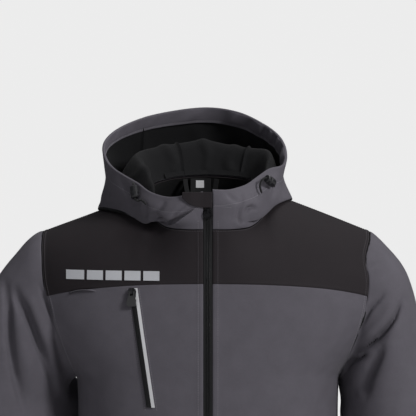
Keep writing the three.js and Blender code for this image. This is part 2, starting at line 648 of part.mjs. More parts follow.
const LABEL_X = -10;
const insideBack = x => 66.1 - 0.007 * (x - LABEL_X) ** 2;
const LOOP_WIDTH = 6.5;
const LOOP_LINE = table(['x', 'z'], [
  [-34, 15], [-32.5, 4], [-29.5, -8], [-22, -18], [-10, -21], [2, -18], [8.5, -8], [11, 4], [12.5, 15],
]);
const loopGrid = steps(16).map(t => {
  const at = t * (LOOP_LINE.length - 1);
  const line = LOOP_LINE.map((entry, i) => ({ step: i, ...entry }));
  const place = share => [read(line, 'step', share, 'x'), read(line, 'step', share, 'z')];
  const before = place(Math.max(at - 0.2, 0));
  const after = place(Math.min(at + 0.2, LOOP_LINE.length - 1));
  const [dx, dz] = unit(minus(after, before));
  const [x, z] = place(at);
  return [-0.5, 0.5].map(side => {
    const strapX = x - dz * LOOP_WIDTH * side;
    return [strapX, insideBack(strapX) - 1.6, z + dx * LOOP_WIDTH * side];
  });
});
piece('hanger_loop', cloth(loopGrid, { flip: -1, thick: 1.2 }), TRIM);

const neckPatch = (x0, x1, z0, z1, inward) => steps(1).map(v => steps(4).map(u => {
  const x = lerp(x0, x1, u);
  return [x, insideBack(x) - inward, lerp(z1, z0, v)];
}));
piece('label_backing', cloth(neckPatch(-26, 4, -6, 16, 1), { flip: -1, thick: 1 }), TRIM);
piece('label_blank', cloth(neckPatch(-18, -6, 2, 13, 2.2), { flip: -1, thick: 0.8 }), WHITE);

// The chin guard that closes over the top of the zip, laid on the left collar
const GUARD_EDGE = table(['x', 'low'], [[-37, -5], [-31, -11], [-24, -15.5], [-12, -18.5], [6, -19]]);
const GUARD_TOP = 3.4;
const guardGrid = steps(5).map(v => steps(10).map(u => {
  const x = lerp(-37, 6, u);
  const y = -(107.1 + 2.3 * smooth((-x - 7) / 20));
  return [x, y, lerp(GUARD_TOP, read(GUARD_EDGE, 'x', x, 'low'), v)];
}));
const guardFace = guardGrid.map(row => row.map(point => add(point, [0, -CLOTH, 0])));
piece('chin_guard', cloth(guardFace, { flip: -1 }), BLACK);

// The front zip: coil and tape, swept up the centre line
const ZIP_TOP = -12;
const ZIP_SECTION = table(['x', 'depth'], [
  [-13, 2.6], [-6.1, 2.6], [-6.1, 0.5], [6.1, 0.5], [6.1, 2.6], [13, 2.6], [13, 3.5], [-13, 3.5],
]);
const zipRing = z => {
  const y = read(FRONT_PROFILE, 'z', z, 'y');
  const lean = read(FRONT_PROFILE, 'z', z + 2, 'y') - read(FRONT_PROFILE, 'z', z - 2, 'y');
  const inward = unit([0, 4, -lean]);
  return ZIP_SECTION.map(({ x, depth }) => add([x, y, z], inward, depth));
};
function swept(rings) {
  const around = rings[0].length;
  const triangles = [];
  rings.slice(1).forEach((_, j) => rings[0].forEach((__, i) => {
    const a = j * around + i;
    const b = j * around + (i + 1) % around;
    triangles.push([a, b, b + around], [a, b + around, a + around]);
  }));
  const cap = THREE.ShapeUtils.triangulateShape(ZIP_SECTION.map(({ x, depth }) => new THREE.Vector2(x, depth)), []);
  const last = (rings.length - 1) * around;
  cap.forEach(([a, b, c]) => triangles.push([a, c, b], [last + a, last + b, last + c]));
  return solid(rings.flat(), triangles);
}
const ZIP_STEPS = 18;
const zipHeights = [
  ...steps(ZIP_STEPS).map(t => lerp(HEM_Z + 1, -80, t)),
  -70, -62, -57, -54, -51, -48, -45, -38, -25, ZIP_TOP,
];
piece('front_zip', swept(zipHeights.map(zipRing)), TRIM);

// Points of the left front and yoke looked up by where they lie, seen from the front
function lookUp(surface, x, z) {
  let u = clamp(Math.abs(x) / 220, 0.05, 0.95);
  let v = 0.4;
  const small = 1e-3;
  for (let i = 0; i < 25; i += 1) {
    const here = surface(u, v);
    const overU = minus(surface(u + small, v), here);
    const overV = minus(surface(u, v + small), here);
    const det = overU[0] * overV[2] - overV[0] * overU[2];
    const missX = Math.abs(x) - here[0];
    const missZ = z - here[2];
    u = clamp(u + (missX * overV[2] - missZ * overV[0]) / det * small, 0, 1);
    v = clamp(v + (missZ * overU[0] - missX * overU[2]) / det * small, 0, 1);
  }
  const point = surface(u, v);
  const overU = minus(surface(u + small, v), point);
  const overV = minus(surface(u, v + small), point);
  const sign = x < 0 ? -1 : 1;
  const out = unit(cross(overU, overV));
  const facing = out[1] > 0 ? -1 : 1;
  return {
    point: shifted(mirrored(point, sign)),
    out: mirrored(out.map(value => value * facing), sign),
  };
}
const frontAt = (x, z) => lookUp((u, v) => lowerPanel(FRONT, u, v), x, z);
const yokeAt = (x, z) => lookUp((u, v) => yoke(FRONT, u, v), x, z);

// A strip laid on the left front between two lines, given across and along
function strip(centreLine, width, thick, gap, cells) {
  const points = steps(cells).map(t => [-0.5, 0, 0.5].map(side => {
    const [x, z] = mix(centreLine[0], centreLine[1], t);
    const { point, out } = frontAt(x + side * width, z);
    return { low: add(point, out, gap), high: add(point, out, gap + thick) };
  }));
  return wallBetween(points.map(row => row.map(p => p.high)), points.map(row => row.map(p => p.low)), false, -1);
}

// Chest pocket on the viewer's left: zip, white piping beside it, slider and pull
const POCKET_ZIP = [[-108.5, -133], [-83.7, -302]];
const PIPING_SHIFT = 6;
const POCKET_ZIP_WIDTH = 6.6;
const PIPING_WIDTH = 4.4;
const POCKET_ZIP_THICK = 1.3;
const PIPING_THICK = 1.6;
const STRIP_CELLS = 20;
piece('pocket_zip', strip(POCKET_ZIP, POCKET_ZIP_WIDTH, POCKET_ZIP_THICK, LAID_GAP, STRIP_CELLS), TRIM);
const pipingLine = POCKET_ZIP.map(([x, z]) => [x + PIPING_SHIFT, z]);
piece('pocket_piping', strip(pipingLine, PIPING_WIDTH, PIPING_THICK, LAID_GAP, STRIP_CELLS), WHITE);

// Row of plain equal reflective bars on the left yoke
const BAR_COUNT = 5;
const BARS = { left: -200, right: -69, low: -122.5, high: -109.5, gap: 4 };
for (let i = 0; i < BAR_COUNT; i += 1) {
  const width = (BARS.right - BARS.left - BARS.gap * (BAR_COUNT - 1)) / BAR_COUNT;
  const start = BARS.left + i * (width + BARS.gap);
  const points = steps(1).map(v => steps(3).map(u => {
    const { point, out } = yokeAt(start + u * width, lerp(BARS.high, BARS.low, v));
    return { low: add(point, out, LAID_GAP), high: add(point, out, LAID_GAP + 0.6) };
  }));
  piece(`reflective_bar_${i + 1}`, wallBetween(
    points.map(row => row.map(p => p.high)), points.map(row => row.map(p => p.low)), false, -1), REFLECTIVE);
}

// Closed solids joined or cut
const WELD = 1e-4;
const toSolid = geometry => {
  const bare = new THREE.BufferGeometry();
  bare.setAttribute('position', geometry.attributes.position);
  if (geometry.index) bare.setIndex(geometry.index);
  const merged = mergeVertices(bare, WELD);
  return new wasm.Manifold(new wasm.Mesh({
    numProp: 3,
    vertProperties: new Float32Array(merged.attributes.position.array),
    triVerts: new Uint32Array(merged.index.array),
  }));
};
function fromSolid(manifold) {
  const { vertProperties, triVerts } = manifold.getMesh();
  const geometry = new THREE.BufferGeometry();
  geometry.setAttribute('position', new THREE.BufferAttribute(new Float32Array(vertProperties), 3));
  geometry.setIndex([...triVerts]);
  geometry.computeVertexNormals();
  return geometry;
}

// Sliders, in their own frame: the origin is the hinge bar, -Y is away from the cloth, +Z is up
const BAR_RADIUS = 1;
const HINGE_CLEARANCE = 0.45;
const ARCH_THICK = 1.2;
function sliderGeometry({ width, rise, fall, plate, archHalf, archWidth }) {
  const opening = BAR_RADIUS + HINGE_CLEARANCE;
  const outline = new THREE.Shape();
  outline.moveTo(-width / 2 + 1.5, rise);
  outline.lineTo(width / 2 - 1.5, rise);
  outline.lineTo(width / 2, rise - 3);
  outline.lineTo(width / 2, -fall + 2);
  outline.lineTo(width / 2 - 2, -fall);
  outline.lineTo(-width / 2 + 2, -fall);
  outline.lineTo(-width / 2, -fall + 2);
  outline.lineTo(-width / 2, rise - 3);
  outline.closePath();
  const plateBody = new THREE.ExtrudeGeometry(outline, { depth: plate, bevelEnabled: false });
  plateBody.rotateX(Math.PI / 2);
  plateBody.translate(0, opening + plate, 0);
  const arch = new THREE.Shape();
  const foot = archHalf + ARCH_THICK;
  arch.moveTo(-foot, -opening - 0.3);
  arch.lineTo(-archHalf, -opening - 0.3);
  arch.lineTo(-archHalf + 0.8, opening);
  arch.lineTo(archHalf - 0.8, opening);
  arch.lineTo(archHalf, -opening - 0.3);
  arch.lineTo(foot, -opening - 0.3);
  arch.lineTo(foot - 1, opening + ARCH_THICK);
  arch.lineTo(-foot + 1, opening + ARCH_THICK);
  arch.closePath();
  const archBody = new THREE.ExtrudeGeometry(arch, { depth: archWidth, bevelEnabled: false });
  archBody.translate(0, 0, -archWidth / 2);
  archBody.applyMatrix4(new THREE.Matrix4().makeBasis(
    new THREE.Vector3(0, 0, 1), new THREE.Vector3(0, -1, 0), new THREE.Vector3(1, 0, 0)));
  return fromSolid(toSolid(plateBody).add(toSolid(archBody)));
}

function slidAt({ point, out }, hingeHeight, plate) {
  const back = new THREE.Vector3(...out).negate();
  const across = new THREE.Vector3().crossVectors(back, new THREE.Vector3(0, 0, 1)).normalize();
  const up = new THREE.Vector3().crossVectors(across, back);
  const stand = hingeHeight + plate + BAR_RADIUS + HINGE_CLEARANCE;
  const frame = new THREE.Group();
  const place = new THREE.Matrix4().makeBasis(across, back, up);
  place.setPosition(...add(point, out, stand));
  place.decompose(frame.position, frame.quaternion, frame.scale);
  group.add(frame);
  return frame;
}

const FRONT_SLIDER = { width: 8.6, rise: 3.2, fall: 10, plate: 2, archHalf: 2.6, archWidth: 2.2 };
const RING_RADIUS = 5.6;
const FRONT_HINGE_Z = -23;
const frontHingePoint = [0, read(FRONT_PROFILE, 'z', FRONT_HINGE_Z, 'y'), FRONT_HINGE_Z];
const frontFrame = slidAt({ point: frontHingePoint, out: [0, -1, 0] }, 0.1, FRONT_SLIDER.plate);
piece('front_slider', sliderGeometry(FRONT_SLIDER), METAL, frontFrame);
const ringSection = steps(6).map(t =>
  new THREE.Vector2(RING_RADIUS + BAR_RADIUS * Math.cos(t * 2 * Math.PI), BAR_RADIUS * Math.sin(t * 2 * Math.PI)));
const ring = new THREE.LatheGeometry(ringSection, 22);
ring.translate(0, 0, -RING_RADIUS);
piece('front_pull', ring, METAL, frontFrame);

const POCKET_SLIDER = { width: 11, rise: 5, fall: 9, plate: 2.4, archHalf: 3, archWidth: 3 };
const POCKET_HINGE = [-107.3, -139];
const pocketFrame = slidAt(frontAt(...POCKET_HINGE), LAID_GAP + POCKET_ZIP_THICK + 0.5, POCKET_SLIDER.plate);
piece('pocket_slider', sliderGeometry(POCKET_SLIDER), METAL, pocketFrame);
const tab = new THREE.Shape();
const TAB = { top: 1, waist: 4.4, end: 6.8, shoulder: -7, low: -20.5, hole: 2.1, holeLow: -6 };
tab.moveTo(-TAB.waist, TAB.top);
tab.lineTo(-TAB.waist, TAB.shoulder);
tab.lineTo(-TAB.end, TAB.shoulder - 4.5);
tab.lineTo(-TAB.end, TAB.low + 2.4);
tab.quadraticCurveTo(-TAB.end, TAB.low, -TAB.end + 2.4, TAB.low);
tab.lineTo(TAB.end - 2.4, TAB.low);
tab.quadraticCurveTo(TAB.end, TAB.low, TAB.end, TAB.low + 2.4);
tab.lineTo(TAB.end, TAB.shoulder - 4.5);
tab.lineTo(TAB.waist, TAB.shoulder);
tab.lineTo(TAB.waist, TAB.top);
tab.closePath();
const tabHole = new THREE.Path();
tabHole.moveTo(-TAB.hole, -BAR_RADIUS);
tabHole.lineTo(TAB.hole, -BAR_RADIUS);
tabHole.lineTo(TAB.hole, TAB.holeLow);
tabHole.lineTo(-TAB.hole, TAB.holeLow);
tabHole.closePath();
tab.holes.push(tabHole);
const tabBody = new THREE.ExtrudeGeometry(tab, { depth: 1.8, bevelEnabled: false, curveSegments: 4 });
tabBody.rotateX(Math.PI / 2);
tabBody.translate(0, 0.9, 0);
piece('pocket_pull', tabBody, TRIM, pocketFrame);

// Drawcords at the rim: an eyelet, a cord lock and a cord with a free end on each side
const CORD_RADIUS = 1.5;
const LOCK = { inner: 2, outer: 6.6, half: 9.5 };
const lockProfile = [
  [LOCK.inner, -LOCK.half], [LOCK.outer - 1.6, -LOCK.half], [LOCK.outer - 0.2, -LOCK.half + 1.8],
  [LOCK.outer, 2], [LOCK.outer - 0.6, 3], [LOCK.outer - 0.6, LOCK.half - 1.4],
  [LOCK.outer - 2, LOCK.half], [LOCK.inner, LOCK.half], [LOCK.inner, -LOCK.half],
].map(([radius, height]) => new THREE.Vector2(radius, height));

function along(geometry, from, to) {
  const direction = new THREE.Vector3(...unit(minus(to, from)));
  geometry.applyQuaternion(new THREE.Quaternion().setFromUnitVectors(new THREE.Vector3(0, 1, 0), direction));
  geometry.translate(...mix(from, to, 0.5));
  return geometry;
}

const DRAWCORDS = {
  left: {
    lock: [[-107, -67, 11], [-104.5, -79, -8]],
    cord: [[-107.6, -57.4, 14.4], [-107.8, -62, 13.4], [-107, -67, 11], [-105.75, -73, 1.5], [-104.5, -79, -8],
      [-101, -83.5, -10.5], [-96.5, -86, -9], [-92, -89, -11.5], [-88.5, -91.5, -16]],
  },
  right: {
    lock: [[94.5, -54, 13.5], [84.5, -67.5, 21.5]],
    cord: [[96.1, -45.3, 8.9], [95.9, -49.5, 11.2], [94.5, -54, 13.5], [89.5, -60.75, 17.5], [84.5, -67.5, 21.5],
      [80.5, -70.5, 21.5], [76.5, -72.5, 17], [74.8, -73.5, 9.5], [77.5, -74.5, 0]],
  },
};
for (const [name, { lock, cord }] of Object.entries(DRAWCORDS)) {
  piece(`cord_lock_${name}`, along(new THREE.LatheGeometry(lockProfile, 14), lock[0], lock[1]), TRIM);
  const path = new THREE.CatmullRomCurve3(cord.map(point => new THREE.Vector3(...point)));
  const section = new THREE.Shape(steps(8).slice(1).map(t =>
    new THREE.Vector2(CORD_RADIUS * Math.cos(t * 2 * Math.PI), CORD_RADIUS * Math.sin(t * 2 * Math.PI))));
  const sweep = { steps: 16, extrudePath: path, bevelEnabled: false };
  piece(`drawcord_${name}`, new THREE.ExtrudeGeometry(section, sweep), TRIM);
}

export default group;
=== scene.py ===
# Looks of a hooded softshell jacket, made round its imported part.
# The cloth is worked out in millimetres, with the sizes of its solids, and turned into metres at the end.
import math

import bpy
import numpy as np
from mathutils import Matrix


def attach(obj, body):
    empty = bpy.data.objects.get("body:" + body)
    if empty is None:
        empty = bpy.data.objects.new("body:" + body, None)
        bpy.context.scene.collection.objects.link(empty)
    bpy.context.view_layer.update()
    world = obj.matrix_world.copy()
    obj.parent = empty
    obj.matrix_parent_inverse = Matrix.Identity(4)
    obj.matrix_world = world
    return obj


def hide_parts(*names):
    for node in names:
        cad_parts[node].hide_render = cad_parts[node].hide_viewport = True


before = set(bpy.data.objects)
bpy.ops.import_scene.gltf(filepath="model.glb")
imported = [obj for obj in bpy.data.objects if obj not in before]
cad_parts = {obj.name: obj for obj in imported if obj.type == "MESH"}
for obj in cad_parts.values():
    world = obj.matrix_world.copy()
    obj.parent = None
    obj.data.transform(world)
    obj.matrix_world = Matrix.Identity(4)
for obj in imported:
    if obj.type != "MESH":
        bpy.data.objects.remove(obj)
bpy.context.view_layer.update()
MM = 0.001
BODY = "garment"

# Camera: the whole picture is 416 squares wide, and each square is 1.47 mm of the target's plane
PICTURE = 416
SQUARE = 1.47
DISTANCE = 3600
RISE = math.radians(3)
TARGET = np.array([0, 0, -25.0])

camera = bpy.data.objects.new("camera", bpy.data.cameras.new("camera"))
bpy.context.scene.collection.objects.link(camera)
camera.location = [
    0,
    -DISTANCE * math.cos(RISE) * MM,
    (TARGET[2] + DISTANCE * math.sin(RISE)) * MM,
]
camera.rotation_euler = [math.radians(90) - RISE, 0, 0]
camera.data.sensor_width = 36
camera.data.lens = camera.data.sensor_width * DISTANCE / (PICTURE * SQUARE)
camera.data.clip_end = 50
bpy.context.scene.camera = camera


def seen(points):
    """Where the camera sees points, as the column and the row of the picture."""
    away = points - TARGET
    depth = DISTANCE + away[..., 1] * math.cos(RISE) - away[..., 2] * math.sin(RISE)
    up = away[..., 1] * math.sin(RISE) + away[..., 2] * math.cos(RISE)
    scale = DISTANCE / depth / SQUARE
    return PICTURE / 2 + away[..., 0] * scale, PICTURE / 2 - up * scale


# Numbers, points and tables
def lerp(a, b, t):
    return a + (b - a) * t


def smooth(t):
    c = np.clip(t, 0, 1)
    return c * c * (3 - 2 * c)


def unit(a):
    return a / np.maximum(np.linalg.norm(a, axis=-1, keepdims=True), 1e-9)


def hermite(a, slope_a, b, slope_b, t):
    t2 = t * t
    t3 = t2 * t
    value = a * (2 * t3 - 3 * t2 + 1) + b * (3 * t2 - 2 * t3)
    return value + slope_a * (t3 - 2 * t2 + t) + slope_b * (t3 - t2)


def table(names, rows):
    columns = np.array(rows, float).T
    return {name: columns[i] for i, name in enumerate(names.split())}


def read(rows, key, at, name):
    keys = rows[key]
    values = rows[name]
    at = np.asarray(at, float)
    if keys[-1] < keys[0]:
        keys = -keys
        at = -at
    last = len(keys) - 1
    after = np.minimum(np.arange(last + 1) + 1, last)
    before = np.maximum(np.arange(last + 1) - 1, 0)
    slopes = (values[after] - values[before]) / (keys[after] - keys[before])
    i = np.clip(np.searchsorted(keys, at, side="left") - 1, 0, last - 1)
    span = keys[i + 1] - keys[i]
    t = np.clip((at - keys[i]) / span, 0, 1)
    return hermite(values[i], slopes[i] * span, values[i + 1], slopes[i + 1] * span, t)


def read_point(rows, key, at):
    return np.stack([read(rows, key, at, name) for name in "xyz"], -1)


# Sizes and tables of the solids
CLOTH = 1.5
SEAM_GAP = 0.4
HEM_Z = -711
ARMPIT_Z = -275
ARMPIT_CENTRE_Z = -255
FRONT_EDGE_X = 6.7
SHOULDER_NECK = np.array([88, 4, -1.0])
SEAM_SHARE = 0.52
ARMPIT_SHARE = 0.27
FULLNESS = 0.06
YOKE_NECK_SHARE = 0.42
LEFT_SPREAD = 7
BODY_SPREADS = {-1: -4, 1: 4}
LEFT_TWIST = 0.5

SIDE = table("z x", [[-275, 193], [-331, 188], [-450, 185], [-560, 188], [-711, 197]])
NECK = table("angle x y z", [
    [0, 0, -104, -51], [20, 34, -101, -51], [38, 58, -87, -49], [52, 72, -68, -42], [66, 82, -46, -31],
    [82, 88, -20, -14], [97, 88, 4, -1], [115, 82, 28, 8], [140, 58, 52, 15], [160, 30, 65, 18],
    [180, 0, 70, 19],
])
FRONT = {
    "profile": table("z y", [
        [10, -107], [-25, -105], [-51, -104], [-90, -117], [-126, -127], [-200, -138],
        [-275, -140], [-400, -134], [-520, -131], [-711, -137],
    ]),
    "armhole": table("share x y z", [
        [0, 237, 4, -59], [0.12, 236, -28, -68], [0.25, 233, -52, -90], [0.4, 232, -68, -120],
        [0.52, 230, -75, -148], [0.62, 226, -77, -173], [0.74, 217, -69, -203], [0.87, 204, -45, -241],
        [1, 193, 0, -275],
    ]),
    "seam_z": -126, "seam_round": 0.4, "edge_x": FRONT_EDGE_X, "neck_start": 4, "neck_round": 0.2,
}
BACK = {
    "profile": table("z y", [
        [19, 70], [-20, 96], [-70, 117], [-150, 129], [-275, 126], [-400, 113], [-520, 111], [-711, 128],
    ]),
    "armhole": table("share x y z", [
        [0, 237, 4, -59], [0.12, 235, 34, -68], [0.25, 231, 58, -90], [0.4, 227, 75, -120],
        [0.52, 224, 81, -148], [0.62, 221, 81, -175], [0.74, 214, 72, -206], [0.87, 204, 46, -243],
        [1, 193, 0, -275],
    ]),
    "seam_z": -148, "seam_round": 0.45, "edge_x": 0, "neck_start": 180, "neck_round": 0.55,
}
SEAM_SHIFTS = {
    -1: table("z shift", [[-40, 3], [-59, 5], [-85, 8], [-126, 6], [-145, 3], [-165, 0], [-190, 0]]),
    1: table("z shift", [[-40, 0], [-67, 0], [-96, -4.5], [-126, 0], [-160, 0]]),
}
SHIFT_REACH = {"start": 170, "full": 230, "hold": 240, "end": 285}


def shifted(points):
    """Moves the armhole seams sideways by height, each side its own way."""
    away = np.abs(points[..., 0])
    start, full, hold, end = SHIFT_REACH.values()
    share = smooth((away - start) / (full - start)) * smooth((end - away) / (end - hold))
    left = read(SEAM_SHIFTS[-1], "z", points[..., 2], "shift")
    right = read(SEAM_SHIFTS[1], "z", points[..., 2], "shift")
    points = points.copy()
    points[..., 0] += np.where(points[..., 0] < 0, -left, right) * share
    return points


def lower_panel(side, u, v):
    above = v < ARMPIT_SHARE
    fall = np.where(above, v / ARMPIT_SHARE, (v - ARMPIT_SHARE) / (1 - ARMPIT_SHARE))
    z = np.where(above, lerp(side["seam_z"], ARMPIT_CENTRE_Z, fall), lerp(ARMPIT_CENTRE_Z, HEM_Z, fall))
    edge_z = lerp(ARMPIT_Z, HEM_Z, fall)
    arm = read_point(side["armhole"], "share", lerp(SEAM_SHARE, 1, fall))
    below = np.stack([read(SIDE, "z", edge_z, "x"), np.zeros_like(u), edge_z], -1)
    edge = np.where(above[..., None], arm, below)
    round_ = np.where(above, lerp(side["seam_round"], 1, fall), 1)
    turn = u * math.pi / 2
    full = 1 + FULLNESS * np.sin(u * math.pi) ** 2
    across = lerp(u, np.sin(turn) * full, round_)
    depth = lerp(1 - u * u, np.cos(turn) * full, round_)
    return np.stack([
        lerp(side["edge_x"], edge[..., 0], across),
        lerp(edge[..., 1], read(side["profile"], "z", z, "y"), depth),
        lerp(z, edge[..., 2], u * u),
    ], -1)


def yoke_arc(side, u, v):
    low = lower_panel(side, u, np.zeros_like(u))
    neck = read_point(NECK, "angle", lerp(side["neck_start"], 97, np.minimum(u / YOKE_NECK_SHARE, 1)))
    tip = read_point(side["armhole"], "share", 0)
    shoulder = lerp(SHOULDER_NECK, tip, ((u - YOKE_NECK_SHARE) / (1 - YOKE_NECK_SHARE))[..., None])
    high = np.where((u < YOKE_NECK_SHARE)[..., None], neck, shoulder)
    round_ = lerp(side["neck_round"], 1, u ** 1.5)
    turn = v * math.pi / 2
    full = 1 + FULLNESS * np.sin(v * math.pi) ** 2
    rise = lerp(v, np.sin(turn) * full, round_)
    depth = lerp(1 - v, np.cos(turn) * full, round_)
    return np.stack([
        lerp(low[..., 0], high[..., 0], v),
        lerp(high[..., 1], low[..., 1], depth),
        lerp(low[..., 2], high[..., 2], rise),
    ], -1)


def yoke(side, u, v):
    seam = read_point(side["armhole"], "share", lerp(SEAM_SHARE, 0, v))
    point = yoke_arc(side, u, v) + (seam - yoke_arc(side, np.ones_like(u), v)) * (u ** 5)[..., None]
    middle = yoke_arc(side, np.zeros_like(u), v)
    point[..., 1] += (read(side["profile"], "z", middle[..., 2], "y") - middle[..., 1]) * (1 - u) ** 5
    return point


# Folds: lines with a width and a height. Below nought is a valley, above it a ridge.
# A hard fold is crisp along its line, and an over fold hides what lies on the right of its line.
def fold(width, height, line, form="soft"):
    return {"width": width, "height": height, "line": np.array(line, float), "form": form}


def folded(folds, across, down, scale=1.0, fade_power=0.6):
    total = np.zeros_like(across)
    for entry in folds:
        line = entry["line"]
        last = len(line) - 1
        nearest = np.full_like(across, np.inf)
        share = np.zeros_like(across)
        side = np.zeros_like(across)
        for i in range(last):
            run = line[i + 1] - line[i]
            from_x = across - line[i][0]
            from_y = down - line[i][1]
            t = np.clip((from_x * run[0] + from_y * run[1]) / (run @ run), 0, 1)
            away = np.hypot(from_x - run[0] * t, from_y - run[1] * t)
            closer = away < nearest
            nearest = np.where(closer, away, nearest)
            share = np.where(closer, (i + t) / last, share)
            side = np.where(closer, np.sign(run[0] * from_y - run[1] * from_x), side)
        away = nearest * scale / entry["width"]
        fade = np.sin(math.pi * np.clip(share, 0.02, 0.98)) ** fade_power
        if entry["form"] == "soft":
            shape = np.exp(-(away ** 2))
        elif entry["form"] == "hard":
            shape = np.exp(-away * 1.3) - 0.35 * np.exp(-((away - 2) ** 2))
        else:
            shape = np.where(side > 0, -0.9 * np.exp(-((away / 0.55) ** 2)), np.exp(-away / 1.6))
        total += entry["height"] * fade * shape
    return total


def ripple(points, size, seed):
    """Slow uneven waves, about one high and low, for cloth that is never quite smooth."""
    waves = np.random.default_rng(seed)
    total = np.zeros(points.shape[:-1])
    for _ in range(7):
        direction = unit(waves.normal(size=3)) / size * waves.uniform(0.7, 1.8)
        total += np.sin(points @ direction + waves.uniform(0, 6.3))
    return total / 2.6


# Grids of cloth
EDGE = np.array([0, 0.8, 1.8, 3, 4.2, 5.4, 6.6, 8, 10])


def spaced(length, cell, low=True, high=True):
    """Shares of a length, closer together beside its seams."""
    start = EDGE[-1] if low else 0
    stop = length - EDGE[-1] if high else length
    places = list(np.linspace(start, stop, max(2, round((stop - start) / cell) + 1)))
    before = list(EDGE[:-1]) if low else []
    after = [length - distance for distance in EDGE[:-1][::-1]] if high else []
    return np.array(before + places + after) / length


def grid(vs, us, point):
    v, u = np.meshgrid(vs, us, indexing="ij")
    return point(u, v)


def normals(points, closed=False, flip=1):
    if closed:
        along = np.roll(points, -1, 1) - np.roll(points, 1, 1)
    else:
        along = np.empty_like(points)
        along[:, 1:-1] = points[:, 2:] - points[:, :-2]
        along[:, 0] = points[:, 1] - points[:, 0]
        along[:, -1] = points[:, -1] - points[:, -2]
    down = np.empty_like(points)
    down[1:-1] = points[2:] - points[:-2]
    down[0] = points[1] - points[0]
    down[-1] = points[-1] - points[-2]
    return unit(np.cross(along, down)) * flip


def moved(points, out, amount):
    return points + out * np.asarray(amount)[..., None]


def runs(points, axis):
    """Distance along a grid from its first row or column."""
    step = np.linalg.norm(np.diff(points, axis=axis), axis=-1)
    start = np.zeros_like(np.take(step, [0], axis=axis))
    return np.concatenate([start, np.cumsum(step, axis=axis)], axis=axis)


def to_edge(points, edge):
    axis = 0 if edge in ("top", "bottom") else 1
    run = runs(points, axis)
    if edge in ("top", "left"):
        return run
    return np.take(run, [-1], axis=axis) - run


def refined(points, rows, columns):
    """The same surface with more rows and columns, curved between its points."""
    for axis, count in ((0, rows), (1, columns)):
        points = np.moveaxis(points, axis, 0)
        last = len(points) - 1
        at = np.asarray(count) * last
        i = np.clip(at.astype(int), 0, last - 1)
        t = (at - i).reshape((-1,) + (1,) * (points.ndim - 1))
        before = points[np.maximum(i - 1, 0)]
        after = points[np.minimum(i + 2, last)]
        slope_a = (points[i + 1] - before) / np.where(i > 0, 2, 1).reshape(t.shape)
        slope_b = (after - points[i]) / np.where(i < last - 1, 2, 1).reshape(t.shape)
        points = np.moveaxis(hermite(points[i], slope_a, points[i + 1], slope_b, t), 0, axis)
    return points


# Meshes
def link(name, mesh, materials, smooth_angle=60):
    for material in materials:
        mesh.materials.append(material)
    mesh.shade_smooth()
    mesh.set_sharp_from_angle(angle=math.radians(smooth_angle))
    piece = bpy.data.objects.new(name, mesh)
    bpy.context.scene.collection.objects.link(piece)
    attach(piece, BODY)
    return piece


def shell(name, outer, inner, materials, closed=False, flip=1, replaces=()):
    """A thin closed wall between two grids. The first material is the face's, the last the inside's."""
    rows, columns = outer.shape[:2]
    count = rows * columns
    cells = columns if closed else columns - 1
    j, i = np.meshgrid(np.arange(rows - 1), np.arange(cells), indexing="ij")
    j = j.ravel()
    i = i.ravel()
    after = (i + 1) % columns
    below = j + 1
    face = np.stack([j * columns + i, j * columns + after, below * columns + after, below * columns + i], 1)
    wide = cells + 1
    places = np.stack([j * wide + i, j * wide + i + 1, below * wide + i + 1, below * wide + i], 1)
    rims = []
    rim_places = []

    def rim(a, b, place_a, place_b):
        rims.append(np.stack([a, a + count, b + count, b], 1))
        rim_places.append(np.stack([place_a, place_a, place_b, place_b], 1))

    i = np.arange(cells)
    after = (i + 1) % columns
    low = (rows - 1) * columns
    place_low = (rows - 1) * wide
    rim(i, after, i, i + 1)
    rim(low + after, low + i, place_low + i + 1, place_low + i)
    if not closed:
        j = np.arange(rows - 1)
        below = j + 1
        rim(below * columns, j * columns, below * wide, j * wide)
        rim(j * columns + cells, below * columns + cells, j * wide + cells, below * wide + cells)
    faces = np.concatenate([face, face[:, ::-1] + count] + rims)
    uv_index = np.concatenate([places, places[:, ::-1]] + rim_places)
    if flip < 0:
        faces = faces[:, ::-1]
        uv_index = uv_index[:, ::-1]
    ring = np.concatenate([outer, outer[:, :1]], 1) if closed else outer
    uv = np.stack([runs(ring, 1), runs(ring, 0)], -1).reshape(-1, 2) * MM
    mesh = bpy.data.meshes.new(name)
    points = np.concatenate([outer.reshape(-1, 3), inner.reshape(-1, 3)]) * MM
    mesh.from_pydata(points.tolist(), [], faces.tolist())
    mesh.uv_layers.new(name="cloth").data.foreach_set("uv", uv[uv_index.ravel()].ravel())
    if len(materials) > 1:
        index = np.zeros(len(faces), int)
        index[len(face):2 * len(face)] = 1
        mesh.polygons.foreach_set("material_index", index)
    piece = link(name, mesh, materials)
    if replaces:
        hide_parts(*replaces)
    return piece


BEAD = np.array([
    [x, y * size, z * size] for x, size in ((-1, 0.35), (-0.55, 1), (0.55, 1), (1, 0.35))
    for y, z in ((1, 0), (0, 1), (-1, 0), (0, -1))
])
BEAD_FACES = [[ring + k, ring + (k + 1) % 4, ring + 4 + (k + 1) % 4, ring + 4 + k]
              for ring in (0, 4, 8) for k in range(4)]
BEAD_FACES += [[3, 2, 1, 0], [12, 13, 14, 15]]


def beads(name, places, along, up, half, material):
    """Many small rounded bars in one mesh: half is half their length, width and height."""
    along = unit(along)
    side = unit(np.cross(up, along))
    up = np.cross(along, side)
    axes = np.stack([along, side, up], 1)
    points = places[:, None] + np.einsum("pk,nkc->npc", BEAD * np.array(half), axes)
    faces = np.array(BEAD_FACES)[None] + (np.arange(len(places)) * len(BEAD))[:, None, None]
    mesh = bpy.data.meshes.new(name)
    mesh.from_pydata((points.reshape(-1, 3) * MM).tolist(), [], faces.reshape(-1, 4).tolist())
    return link(name, mesh, [material])


# Lines on a grid of cloth, for seams that are sewn on its face
STITCH = 3.4
STITCH_HALF = (1.25, 0.42, 0.3)
STITCH_LIFT = 0.1
threads = {"grey": [], "black": []}


